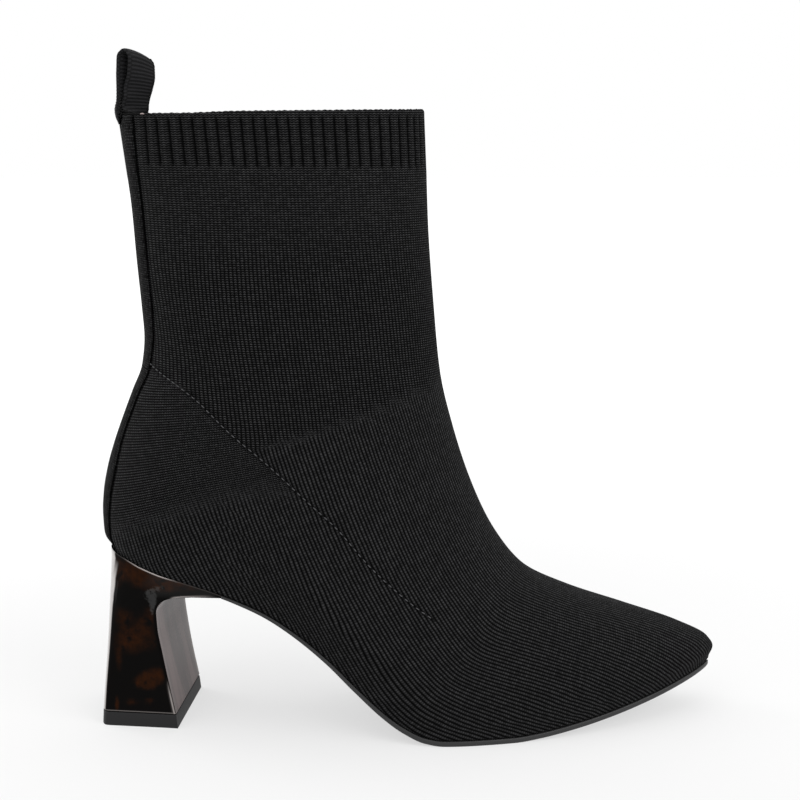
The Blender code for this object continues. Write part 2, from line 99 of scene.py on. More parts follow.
# The upper is drawn in behind the heel's edge: how far, up to what height, and where along it that ends.
TUCK = 1.3
TUCK_HEIGHT = 2.4
TUCK_END = (34.0, 52.0)

# Height of the upper's underside along the boot.
SOLE_LINE_COLUMNS = ("along", "height")
SOLE_LINE = (
    (0.0, 67.6), (14.0, 64.8), (27.0, 61.2), (38.0, 58.4), (48.0, 55.8), (57.0, 52.3), (67.0, 47.5),
    (79.0, 39.7), (91.0, 30.4), (102.0, 20.4), (113.0, 11.3), (121.0, 6.3), (129.0, 3.1), (136.0, 2.2),
    (163.0, 2.2), (173.0, 3.0), (187.0, 5.0), (203.0, 8.0), (220.0, 11.9), (236.0, 16.1), (247.0, 19.2),
)

# Thickness of the outsole along the boot.
SOLE_DEPTH_COLUMNS = ("along", "thickness")
SOLE_DEPTH = ((49.5, 0.9), (75.0, 1.3), (100.0, 1.5), (130.0, 1.9), (247.0, 1.9))

# Sideways place of the middle line along the boot, positive towards the inner side of the foot.
SWING_COLUMNS = ("along", "aside")
SWING = (
    (0.0, 2.4), (30.0, 0.8), (60.0, -1.8), (90.0, -3.8), (120.0, -3.8), (150.0, -2.4), (190.0, 0.2),
    (220.0, 3.0), (247.0, 6.0),
)

# Sections of the last, from the edge of the sole to the collar, one row a level.
SECTION_COLUMNS = (
    "back_in", "back_up", "toe_in", "front_up", "sag", "heel", "waist", "ball", "back_cap", "front_cap",
    "point", "even",
)
SECTIONS = (
    (3.2, 3.6, 1.5, 20.6, 1.00, 0.66, 0.61, 0.985, 30.0, 99.0, 0.95, 0.0),
    (1.5, 9.5, 0.0, 24.6, 0.96, 0.70, 0.68, 1.00, 32.0, 100.0, 0.75, 0.0),
    (1.2, 17.0, 2.8, 29.2, 0.88, 0.72, 0.74, 0.99, 33.0, 100.0, 0.50, 0.0),
    (1.8, 25.0, 14.4, 35.2, 0.78, 0.735, 0.78, 0.95, 34.0, 95.0, 0.28, 0.0),
    (3.7, 34.8, 34.6, 42.3, 0.65, 0.75, 0.80, 0.90, 35.0, 85.0, 0.12, 0.05),
    (6.6, 44.5, 56.6, 49.6, 0.52, 0.76, 0.815, 0.86, 37.0, 74.0, 0.0, 0.10),
    (10.1, 54.2, 76.6, 59.2, 0.38, 0.77, 0.82, 0.83, 40.0, 64.0, 0.0, 0.18),
    (14.3, 65.0, 90.0, 75.0, 0.25, 0.78, 0.82, 0.81, 43.0, 58.0, 0.0, 0.28),
    (18.4, 75.5, 99.3, 94.0, 0.14, 0.79, 0.81, 0.80, 46.0, 56.0, 0.0, 0.40),
    (19.6, 87.0, 107.0, 117.0, 0.06, 0.785, 0.79, 0.79, 49.0, 56.0, 0.0, 0.55),
    (18.8, 99.5, 112.4, 140.0, 0.0, 0.77, 0.77, 0.77, 51.0, 56.0, 0.0, 0.70),
    (17.4, 116.0, 115.0, 166.5, 0.0, 0.74, 0.74, 0.74, 51.0, 54.0, 0.0, 0.85),
    (15.8, 138.0, 117.2, 197.0, 0.0, 0.70, 0.70, 0.70, 50.0, 51.0, 0.0, 1.0),
    (13.7, 155.0, 118.0, 220.5, 0.0, 0.675, 0.675, 0.675, 48.0, 49.0, 0.0, 1.0),
    (11.4, 172.8, 118.8, 240.5, 0.0, 0.66, 0.66, 0.66, 46.0, 47.0, 0.0, 1.0),
)
STATION_HEEL, STATION_WAIST, STATION_BALL = 0.14, 0.29, 0.585
BALL_SKEW = 0.022

# Sections of the heel block, from its foot to the seat, one row a section.
HEEL_COLUMNS = (
    "back_in", "back_z", "front_x", "front_z", "back_half", "front_half", "cap", "square", "skew",
)
HEEL_SECTIONS = (
    (0.1, 5.7, 32.4, 5.7, 21.6, 24.2, 5.0, 4.5, 0.9),
    (0.9, 18.0, 29.9, 18.0, 21.2, 23.6, 6.5, 4.0, 1.0),
    (1.8, 30.6, 27.7, 30.6, 21.2, 23.3, 8.5, 3.6, 1.15),
    (2.3, 40.5, 26.3, 40.5, 21.6, 23.4, 11.0, 3.2, 1.3),
    (2.4, 47.0, 26.1, 46.8, 22.2, 23.7, 14.0, 2.8, 1.35),
    (2.4, 51.0, 27.3, 50.6, 22.8, 24.0, 17.0, 2.5, 1.2),
    (2.5, 54.4, 30.8, 52.9, 23.5, 24.4, 20.0, 2.3, 0.8),
    (2.6, 58.4, 38.4, 53.7, 24.6, 24.6, 23.0, 2.1, 0.3),
)

# Pull loop: middle line of the webbing, its turn in degrees, its bow and the dip of its inner edge.
LOOP_COLUMNS = ("along", "height", "turn", "bow", "dip")
LOOP_PATH = (
    (10.9, 235.3, 4.0, 1.2, 0.0),
    (9.9, 240.6, 4.0, 1.2, 0.0),
    (12.5, 244.6, 20.0, 0.8, 0.2),
    (14.4, 249.2, 33.0, 0.2, 0.8),
    (15.2, 254.8, 39.0, 0.0, 1.6),
    (15.7, 259.6, 40.0, 0.0, 3.4),
    (17.8, 261.4, 40.0, 0.0, 4.0),
    (19.6, 258.8, 36.0, 0.0, 3.4),
    (19.4, 254.0, 39.0, 0.0, 1.6),
    (18.2, 249.0, 41.0, 0.0, 1.0),
    (17.3, 245.2, 36.0, 0.2, 0.5),
    (16.6, 242.0, 38.0, 0.2, 0.2),
    (16.7, 239.8, 27.0, 0.8, 0.0),
    (15.8, 235.2, 5.0, 1.9, 0.0),
    (16.4, 229.6, 4.0, 1.9, 0.0),
)

# Half width of the back tape from the sole's edge to the collar: level and fold of the last.
TAPE_EDGE_COLUMNS = ("level", "fold")
TAPE_EDGE = (
    (0.0, 0.064), (2.0, 0.071), (4.0, 0.079), (5.7, 0.068), (7.0, 0.070), (8.4, 0.088), (10.0, 0.105),
    (12.15, 0.094), (13.0, 0.098), (14.0, 0.112),
)

# Grooves of the cuff, counted from the back tape's edge to the front: number and fold of the last.
RIB_COLUMNS = ("number", "fold")
RIB_PLACES = (
    (0.0, 0.098), (1.0, 0.146), (2.0, 0.188), (3.0, 0.228), (4.0, 0.265), (6.0, 0.333), (10.0, 0.463),
    (17.0, 0.675), (22.0, 0.830), (25.0, 0.917), (28.0, 1.0),
)

# The counter's seam, from the back tape down and forward over the side: level and fold of the last.
SEAM_COLUMNS = ("level", "fold")
SEAM = (
    (8.28, 0.060), (8.20, 0.124), (8.10, 0.200), (7.95, 0.260), (7.50, 0.354), (7.20, 0.456), (6.70, 0.540),
    (6.20, 0.568), (5.65, 0.586), (5.05, 0.597), (4.65, 0.606),
)

# Where the knit changes: foot of the shaft's fine knit, and of the counter's.
SHAFT_FOOT_COLUMNS = ("along", "height")
SHAFT_FOOT = ((60.0, 110.0), (65.5, 114.9), (94.5, 122.6), (118.5, 131.8), (136.0, 136.0))
COUNTER_FOOT_COLUMNS = ("along", "height")
COUNTER_FOOT = ((0.0, 72.0), (12.0, 77.7), (37.5, 88.2), (58.3, 95.2), (81.2, 96.9))

# The strip of light down the heel's back corner: height, and fold of the heel at which it ends.
STRIP_COLUMNS = ("height", "fold")
STRIP = (
    (5.7, 0.250), (15.0, 0.260), (25.0, 0.285), (35.0, 0.315), (45.0, 0.350), (50.0, 0.365), (55.0, 0.345),
    (60.0, 0.295), (66.0, 0.265),
)

# How far the heel's edge rises over the lower edge of the upper.
SEAT_RISE_COLUMNS = ("along", "rise")
SEAT_RISE = (
    (0.0, 1.6), (11.0, 1.8), (17.0, 1.15), (25.0, 1.05), (31.0, 1.1), (39.0, 0.8), (44.0, 0.5), (49.5, 0.0),
)

# Amber patches of the heel as they lie on its outer side: along, height, reach along, reach up, strength.
AMBER = (
    (15.0, 62.5, 9.5, 4.6, 1.50),
    (8.0, 60.0, 2.0, 6.0, 0.80),
    (29.5, 58.6, 9.5, 3.0, 1.60),
    (15.0, 36.0, 8.5, 5.5, 1.40),
    (10.5, 45.5, 4.0, 4.0, 0.80),
    (20.5, 45.0, 4.0, 5.0, 0.70),
    (22.4, 21.2, 4.6, 3.0, 1.90),
    (18.3, 17.8, 4.2, 2.4, 1.70),
    (19.9, 10.6, 2.6, 1.0, 1.30),
    (12.5, 10.0, 3.4, 1.8, 0.80),
    (6.8, 8.6, 0.9, 3.4, 1.20),
    (8.0, 27.0, 1.6, 4.5, 0.80),
)

# Ragged mirror patches on the heel's outer side, beside the top of its breast, in the same columns.
MIRROR = ((21.6, 54.6, 2.8, 2.6, 1.0), (22.4, 49.4, 1.5, 4.2, 0.95), (27.0, 58.6, 5.0, 1.6, 0.45))

# A patch and its copy on the inner side: what their places along and their heights add up to.
PATCH_TURN = (34.0, 66.0)


def columns_of(names, rows):
    """A table's columns by name."""
    return dict(zip(names, np.array(rows, float).T))


def smooth(places, values, at):
    """A monotone cubic through a table's column, held level outside the table."""
    at = np.clip(np.asarray(at, float), places[0], places[-1])
    step = np.diff(places)
    slope = np.diff(values) / step
    tangent = np.zeros(len(values))
    tangent[0], tangent[-1] = slope[0], slope[-1]
    same_way = slope[:-1] * slope[1:] > 0
    weight = step[1:] + 2 * step[:-1], 2 * step[1:] + step[:-1]
    with np.errstate(divide="ignore", invalid="ignore"):
        mean = (weight[0] + weight[1]) / (weight[0] / slope[:-1] + weight[1] / slope[1:])
    tangent[1:-1] = np.where(same_way, mean, 0.0)
    i = np.clip(np.searchsorted(places, at, side="right") - 1, 0, len(step) - 1)
    t = (at - places[i]) / step[i]
    rise = values[i + 1] - values[i]
    bend_a = step[i] * tangent[i] - rise
    bend_b = rise - step[i] * tangent[i + 1]
    return values[i] + rise * t + t * (1 - t) * ((1 - t) * bend_a + t * bend_b)


LINE = columns_of(SOLE_LINE_COLUMNS, SOLE_LINE)
MIDDLE = columns_of(SWING_COLUMNS, SWING)
SECTION = columns_of(SECTION_COLUMNS, SECTIONS)
HEEL = columns_of(HEEL_COLUMNS, HEEL_SECTIONS)
LOOP = columns_of(LOOP_COLUMNS, LOOP_PATH)
STRIP_EDGE = columns_of(STRIP_COLUMNS, STRIP)
RISE = columns_of(SEAT_RISE_COLUMNS, SEAT_RISE)
DEPTH = columns_of(SOLE_DEPTH_COLUMNS, SOLE_DEPTH)
TAPE_SIDE = columns_of(TAPE_EDGE_COLUMNS, TAPE_EDGE)
RIB = columns_of(RIB_COLUMNS, RIB_PLACES)
SEAM_LINE = columns_of(SEAM_COLUMNS, SEAM)
SHAFT_EDGE = columns_of(SHAFT_FOOT_COLUMNS, SHAFT_FOOT)
COUNTER_EDGE = columns_of(COUNTER_FOOT_COLUMNS, COUNTER_FOOT)
LEVELS = np.arange(len(SECTIONS), dtype=float)
TOP_LEVEL = LEVELS[-1]


def ease(value, low, high):
    """0 below low, 1 above high and a soft step between."""
    t = np.clip((value - low) / (high - low), 0.0, 1.0)
    return t * t * (3 - 2 * t)


def bell(value, centre, width, power=2):
    """1 at the centre, falling to both sides over about a width; a higher power makes it flatter on top."""
    return np.exp(-(((value - centre) / width) ** power))


def run_of(points):
    """Length of a line of points from its start to each of them."""
    return np.concatenate([[0.0], np.cumsum(np.linalg.norm(np.diff(points, axis=0), axis=1))])


def sole_height(along, out=0.0):
    """Height of the upper's underside, moved by out square to the line."""
    nudge = 0.5
    places = (along - nudge, along, along + nudge)
    behind, here, ahead = (smooth(LINE["along"], LINE["height"], place) for place in places)
    slope = (ahead - behind) / (2 * nudge)
    return here + out * np.sqrt(1 + slope**2)


def middle(along):
    return smooth(MIDDLE["along"], MIDDLE["aside"], along)


def section_row(level):
    """The section table's values at a level, which may lie between two rows."""
    return {name: float(smooth(LEVELS, values, level)) for name, values in SECTION.items()}


def round_end(share, power, root):
    share = np.clip(share, 0.0, 1.0)
    return (1 - (1 - share) ** power) ** root


def half_width(row, share, side):
    """Half width of a section at a share of its length; side is -1 on the outer side, 1 on the inner."""
    widths = np.array([row["heel"], row["heel"], row["waist"], row["ball"], row["ball"]]) * BALL_WIDTH / 2
    ball = STATION_BALL + side * BALL_SKEW
    places = np.array([0.0, STATION_HEEL, STATION_WAIST, ball, 1.0])
    length = BOOT_LENGTH - row["toe_in"] - row["back_in"]
    back = round_end(share * length / row["back_cap"], 2.0, 0.5)
    power, root = 2.0 - 0.45 * row["point"], 0.5 + 0.22 * row["point"]
    front_cap = row["front_cap"] * (1 - side * BALL_SKEW / (1 - STATION_BALL))
    front = round_end((1 - share) * length / front_cap, power, root)
    return smooth(places, widths, share) * back * front


def aside(row, share, around):
    """Signed half widths for places around a section, the outer side negative."""
    outer = np.mod(around, 1.0) < 0.5
    return np.where(outer, -half_width(row, share, -1), half_width(row, share, 1))


def section_line(row, share):
    """Where a section runs in the boot's side view."""
    start, end = row["back_in"], BOOT_LENGTH - row["toe_in"]
    low, high = SEAT_HEIGHT + row["back_up"], row["front_up"]
    edge_start, edge_end = SECTION["back_in"][0], BOOT_LENGTH - SECTION["toe_in"][0]
    edge = edge_start + share * (edge_end - edge_start)
    chord = sole_height(edge_start) + share * (sole_height(edge_end) - sole_height(edge_start))
    sag = row["sag"] * (sole_height(edge) - chord)
    return start + share * (end - start), low + share * (high - low) + sag


def fold_of(around):
    """0 at the back of a section and 1 at its front, on both sides."""
    return 1 - np.abs(1 - 2 * np.mod(around, 1.0))


def stations(row, around):
    """Shares of a section's length for places around it: 0 and 1 at the back, a half at the front."""
    fold = fold_of(around)
    crowded = (1 - np.cos(np.pi * fold)) / 2
    fine = (1 - np.cos(np.linspace(0, np.pi, 361))) / 2
    along, height = section_line(row, fine)
    steps = np.sqrt(np.diff(along) ** 2 + np.diff(height) ** 2 + np.diff(half_width(row, fine, 0)) ** 2)
    run = np.concatenate([[0.0], np.cumsum(steps)])
    even = np.interp(fold * run[-1], run, fine)
    return crowded + row["even"] * (even - crowded)


def section(level, around):
    """Points of the last's outside at a level, as an array of x, y, z."""
    row = section_row(level)
    share = stations(row, around)
    along, height = section_line(row, share)
    return np.stack([along, middle(along) + aside(row, share, around), height], axis=-1)


def outward(level, around):
    """Unit vectors square to the last's outside."""
    small_level, small_turn = 0.02, 0.0015
    top, bottom = min(level + small_level, TOP_LEVEL), max(level - small_level, 0.0)
    up = section(top, around) - section(bottom, around)
    round_about = section(level, around + small_turn) - section(level, around - small_turn)
    square = np.cross(round_about, up)
    return square / np.linalg.norm(square, axis=-1, keepdims=True)


def skin(level, around, out):
    """The last's outside moved out by a distance; a negative one moves inwards."""
    return section(level, around) + outward(level, around) * np.broadcast_to(out, np.shape(around))[:, None]


def sole_outline(around, inset, out):
    """The edge of the sole taken in by inset in plan, at a distance square to the upper's underside."""
    row = section_row(0.0)
    share = stations(row, around)
    length = BOOT_LENGTH - row["toe_in"] - row["back_in"]
    near_back = np.clip(1 - share / 0.16, 0, 1) ** 2
    near_toe = np.clip(1 - (1 - share) / 0.16, 0, 1) ** 2
    along = row["back_in"] + share * length + inset * (near_back - near_toe)
    half = aside(row, share, around)
    half = half * (1 - inset / np.maximum(np.abs(half), 2.2 * inset + 0.01))
    return np.stack([along, middle(along) + half, sole_height(along, out)], axis=-1)


def turns(count):
    return np.arange(count) / count


def level_at_height(height):
    """The level whose front stands at a height on the shaft."""
    return np.interp(height, SECTION["front_up"], LEVELS)


def frame_shift():
    """From the last's millimetres to the frame's: the toe tip and the middle of the loop give it."""
    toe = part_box("upper")[1].x / MM
    low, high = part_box("pull_loop")
    loop_middle = (low.y + high.y) / 2 / MM
    return np.array([toe - BOOT_LENGTH, loop_middle - float(middle(LOOP["along"][0])), 0.0])


SHIFT = frame_shift()


def tape_edge(level):
    """Fold of the last at which the back tape ends."""
    return smooth(TAPE_SIDE["level"], TAPE_SIDE["fold"], level)


def rib_numbers():
    """Rib numbers of one side's columns: from -1 under the tape, then eight a rib to the front."""
    in_rib = np.array([0.0, 0.06, 0.13, 0.28, 0.50, 0.72, 0.87, 0.94])
    ribs = (np.arange(RIBS_A_SIDE)[:, None] + in_rib).ravel()
    return np.concatenate([np.linspace(-1.0, -0.07, 10), ribs, [RIBS_A_SIDE]])


RIB_NUMBERS = rib_numbers()


def rib_places(level):
    """Places around the upper of its columns at a level; the first ribs give way to the tape."""
    edge = tape_edge(level)
    free = smooth(RIB["number"], RIB["fold"], np.maximum(RIB_NUMBERS, 0.0))
    beside = free + (edge - RIB["fold"][0]) * np.clip(1 - RIB_NUMBERS / 6, 0, 1) ** 2
    fold = np.where(RIB_NUMBERS < 0, edge * (1 + RIB_NUMBERS), beside)
    return np.concatenate([fold, 2 - fold[-2:0:-1]]) / 2


# The ribs of the foot in the side view: one line down the ankle, one along the vamp, and the bend between.
ANKLE_RIB_POINT = np.array([144.0, 105.0])
ANKLE_RIB_SLOPE = math.radians(70.0)
ANKLE_RIB_RADIUS = 570.0
VAMP_RIB_POINT = np.array([201.0, 46.0])
VAMP_RIB_SLOPE = math.radians(16.0)
VAMP_RIB_RADIUS = 130.0
RIB_BEND, DEEP_BEND = 2.0, 7.0
INSTEP_LEVEL = 6.0
ROUNDNESS = 1.25
INSTEP_STRETCH, INSTEP_REACH = 4.4, 22.0
HEEL_TURN, UNDER_SHARE = 34.0, 0.25
LEAN_HEIGHT, LEAN, LEAN_RIBS = 195.0, 0.0011, 16.0
FRONT_LEAN_HEIGHT, FRONT_LEAN = 165.0, 0.0010
COUNTER_TILT, COUNTER_MIDDLE = (0.08, 0.34), (40.0, 100.0)


def rib_axes(slope):
    """Unit vectors along a falling rib, forward and down, and square to it into the boot."""
    along = np.array([math.cos(slope), -math.sin(slope)])
    return along, np.array([-math.sin(slope), -math.cos(slope)])


def ankle_lines(flat):
    """Distance behind the ankle's line of ribs, which bends a little forward, and the run down it."""
    along, inward = rib_axes(ANKLE_RIB_SLOPE)
    spoke = flat - ANKLE_RIB_POINT + ANKLE_RIB_RADIUS * inward
    angle = np.arctan2(spoke @ along, spoke @ inward)
    return np.hypot(*spoke.T) - ANKLE_RIB_RADIUS, ANKLE_RIB_RADIUS * angle


def vamp_lines(flat):
    """Distance below the vamp's line of ribs, which turns down towards the toe, the run and the turn."""
    along, inward = rib_axes(VAMP_RIB_SLOPE)
    offset = flat - VAMP_RIB_POINT
    spoke = offset - VAMP_RIB_RADIUS * inward
    ahead = offset @ along > 0
    angle = np.where(ahead, np.arctan2(spoke @ along, -(spoke @ inward)), 0.0)
    away = np.where(ahead, VAMP_RIB_RADIUS - np.hypot(*spoke.T), offset @ inward)
    return away, np.where(ahead, VAMP_RIB_RADIUS * angle, offset @ along), angle


def rib_corner():
    """Where the two lines of ribs would meet without a bend."""
    normals = np.array([rib_axes(slope)[1] for slope in (ANKLE_RIB_SLOPE, VAMP_RIB_SLOPE)])
    reach = [normals[0] @ ANKLE_RIB_POINT, normals[1] @ VAMP_RIB_POINT]
    return np.linalg.solve(normals, reach)[None, :]


RIB_CORNER = rib_corner()
MITRE = 2 * math.tan((ANKLE_RIB_SLOPE - VAMP_RIB_SLOPE) / 2)


def half_girths(points, level, around):
    """Half widths that keep growing where the side turns under or round the heel, as a tape would measure."""
    half = np.abs(points[:, 1] - middle(points[:, 0]))
    reach = half
    for higher in np.arange(level, INSTEP_LEVEL, 1.0):
        above = section(higher, around)
        reach = np.maximum(reach, np.abs(above[:, 1] - middle(above[:, 0])))
    heel = points[:, 0] < HEEL_TURN
    behind = np.where(heel, np.max(half[heel]) - half, 0.0)
    return reach + np.maximum(UNDER_SHARE * (reach - half), behind)


def foot_knit(points, level, around):
    """Wales and courses of the foot's ribs in millimetres, and how the courses turn with the wale."""
    flat = points[:, [0, 2]]
    ankle_away, ankle_run = ankle_lines(flat)
    vamp_away, vamp_run, vamp_turn = vamp_lines(flat)
    bend = RIB_BEND + (DEEP_BEND - RIB_BEND) * ease(np.maximum(ankle_away, vamp_away), 20.0, 55.0)
    vamp_share = 1 / (1 + np.exp(np.clip((ankle_away - vamp_away) / bend, -60, 60)))
    away = bend * np.logaddexp(ankle_away / bend, vamp_away / bend)
    away = (away + np.sqrt(away**2 + 16.0)) / 2
    girth = half_girths(points, level, around)
    wale = (away**ROUNDNESS + girth**ROUNDNESS) ** (1 / ROUNDNESS)
    wale = wale - INSTEP_STRETCH * (1 - np.exp(-wale / INSTEP_REACH))
    ankle_run = ankle_run - ankle_lines(RIB_CORNER)[1]
    turn = vamp_share * (MITRE - vamp_turn) + (1 - vamp_share) * ankle_run / ANKLE_RIB_RADIUS
    vamp_run = vamp_run - vamp_lines(RIB_CORNER)[1]
    course = ankle_run + vamp_share * (vamp_run - ankle_run) - (wale - away) * turn
    return np.stack([wale, course, turn], axis=-1)


def shaft_knit(points, numbers):
    """Wales of the shaft's knit, counted from the front, and its courses in millimetres; low wales lean."""
    behind = np.clip(1 - numbers / LEAN_RIBS, 0.0, 1.0)
    lean = LEAN * np.maximum(LEAN_HEIGHT - points[:, 2], 0.0) ** 2 * behind
    lean = lean - FRONT_LEAN * np.maximum(FRONT_LEAN_HEIGHT - points[:, 2], 0.0) ** 2 * (1 - behind)
    wale = (RIBS_A_SIDE - numbers) * WALES_A_RIB + lean
    return np.stack([wale, points[:, 2], np.zeros(len(points))], axis=-1)


def counter_knit(points):
    """The counter's fine knit: courses that rise to the front, less so higher up, and wales across."""
    along, height = points[:, 0] - COUNTER_MIDDLE[0], points[:, 2] - COUNTER_MIDDLE[1]
    tilt = np.clip(0.25 - 0.0045 * height, *COUNTER_TILT)
    return np.stack([along + tilt * height, height - tilt * along, np.zeros(len(points))], axis=-1)


def along_path(run, values, at):
    """Values carried along a path, at other places of its run."""
    return np.stack([np.interp(at, run, values[:, k]) for k in range(values.shape[1])], axis=-1)


def seam_path(side):
    """Points, outward directions and run of the counter's seam; side 0 is the outer one, 1 the inner."""
    rows = np.arange(len(SEAM), dtype=float)
    at = np.linspace(0.0, rows[-1], 61)
    levels, folds = (smooth(rows, SEAM_LINE[name], at) for name in SEAM_COLUMNS)
    places = np.abs(side - folds / 2)[:, None]
    points = np.concatenate([section(level, place) for level, place in zip(levels, places)])
    normals = np.concatenate([outward(level, place) for level, place in zip(levels, places)])
    run = run_of(points)
    return points, normals, run


def seam_marks():
    """Close points along the counter's seam on the outer side."""
    points, _, run = seam_path(0)
    return along_path(run, points, np.arange(0.0, run[-1], 0.5))


SEAM_MARKS = seam_marks()


def seam_distance(points):
    """How far points lie from the counter's seam, which runs alike on both sides."""
    mirrored = points.copy()
    mirrored[:, 1] = middle(points[:, 0]) - np.abs(points[:, 1] - middle(points[:, 0]))
    return np.sqrt(((mirrored[:, None, :] - SEAM_MARKS[None, :, :]) ** 2).sum(axis=2).min(axis=1))


def knit_zones(points, level, around, seam_gap):
    """Shares of the shaft's and the counter's knit, and shade painted dark along the counter's seam."""
    fold = fold_of(around)
    along, height = points[:, 0], points[:, 2]
    seam_level, seam_fold = SEAM_LINE["level"][::-1], SEAM_LINE["fold"][::-1]
    behind_seam = fold < np.interp(level, seam_level, seam_fold, left=0.60, right=0.0)
    counter_foot = np.interp(along, COUNTER_EDGE["along"], COUNTER_EDGE["height"])
    counter = behind_seam * ease(height - counter_foot, -3.0, 9.0)
    shaft_foot = np.interp(along, SHAFT_EDGE["along"], SHAFT_EDGE["height"])
    shaft = ~behind_seam * ease(height - shaft_foot, -1.0, 1.0)
    # The third value is painted shade in the dent of the counter's seam.
    return np.stack([shaft, counter, 0.85 * bell(seam_gap, 0.0, 0.7)], axis=-1)


class KnitRows:
    """Rows of points round the upper, with the knit's fields at each point."""

    def __init__(self):
        self.numbers = np.concatenate([RIB_NUMBERS, RIB_NUMBERS[-2:0:-1]])
        self.points, self.shaft, self.foot, self.counter, self.zone = [], [], [], [], []
        self.around = self.seam_gap = self.fields = None

    def go_to(self, level, points=None):
        """Works out the fields of a level of the last, or of points beside it, which the next rows carry."""
        self.around = rib_places(level)
        points = section(level, self.around) if points is None else points
        self.seam_gap = seam_distance(points)
        foot = foot_knit(points, level, self.around)
        zone = knit_zones(points, level, self.around, self.seam_gap)
        self.fields = shaft_knit(points, self.numbers), foot, counter_knit(points), zone

    def add(self, points, dark=0.0):
        """Adds a row; dark is the least painted shade that its points get."""
        shaft, foot, counter, zone = self.fields
        zone = zone.copy()
        zone[:, 2] = np.maximum(zone[:, 2], dark)
        self.points.append(points)
        self.shaft.append(shaft)
        self.foot.append(foot)
        self.counter.append(counter)
        self.zone.append(zone)

    def mesh_fields(self):
        names = ("shaft_knit", "foot_knit", "counter_knit", "zone")
        rows = (self.shaft, self.foot, self.counter, self.zone)
        return {name: np.concatenate(values) for name, values in zip(names, rows)}


def ring_faces(rows, columns, closed=False):
    """Quads of a grid whose columns run round in a ring, and whose rows do too where it is closed."""
    lower = np.arange(rows if closed else rows - 1)
    row, column = np.meshgrid(lower, np.arange(columns), indexing="ij")
    here, above = row * columns, (row + 1) % rows * columns
    beside = (column + 1) % columns
    corners = (here + column, here + beside, above + beside, above + column)
    return np.stack(corners, axis=-1).reshape(-1, 4).tolist()


def rungs(first, count):
    """Faces that close a ring which is alike on both sides of its middle."""
    half = count // 2
    faces = [(first, first + 1, first + count - 1)]
    for i in range(1, half - 1):
        faces.append((first + i, first + i + 1, first + count - i - 1, first + count - i))
    faces.append((first + half - 1, first + half, first + half + 1))
    return faces


def folded_end(first, count):
    """Faces that close the end ring of a band, each point joined to the one across from it."""
    quads = range(count // 2 - 1)
    faces = [(first + i, first + i + 1, first + count - i - 2, first + count - i - 1) for i in quads]
    if count % 2:
        half = first + count // 2
        faces.append((half - 1, half, half + 1))
    return faces


def closed_stack(rings, end_faces):
    """Faces of a stack of rings whose two ends are closed."""
    count = len(rings[0])
    faces = ring_faces(len(rings), count)
    for first in (0, (len(rings) - 1) * count):
        faces += end_faces(first, count)
    return faces


def add_piece(name, points, faces, material, replaces=(), fields=None, sharp_angle=180.0):
    """Makes a piece of the boot from points in the last's millimetres, and lets it ride on the boot."""
    bm = bmesh.new()
    vertices = [bm.verts.new(point) for point in (np.asarray(points) + SHIFT) * MM]
    for face in faces:
        bm.faces.new([vertices[i] for i in face])
    bmesh.ops.recalc_face_normals(bm, faces=bm.faces)
    mesh = bpy.data.meshes.new(name)
    bm.to_mesh(mesh)
    bm.free()
    for field, values in (fields or {}).items():
        layer = mesh.attributes.new(field, "FLOAT_VECTOR", "POINT")
        layer.data.foreach_set("vector", np.asarray(values, np.float32).ravel())
    mesh.shade_smooth()
    mesh.set_sharp_from_angle(angle=math.radians(sharp_angle))
    mesh.materials.append(material)
    piece = bpy.data.objects.new(name, mesh)
    bpy.context.scene.collection.objects.link(piece)
    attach(piece, "root")
    if replaces:
        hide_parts(*replaces)
    return piece


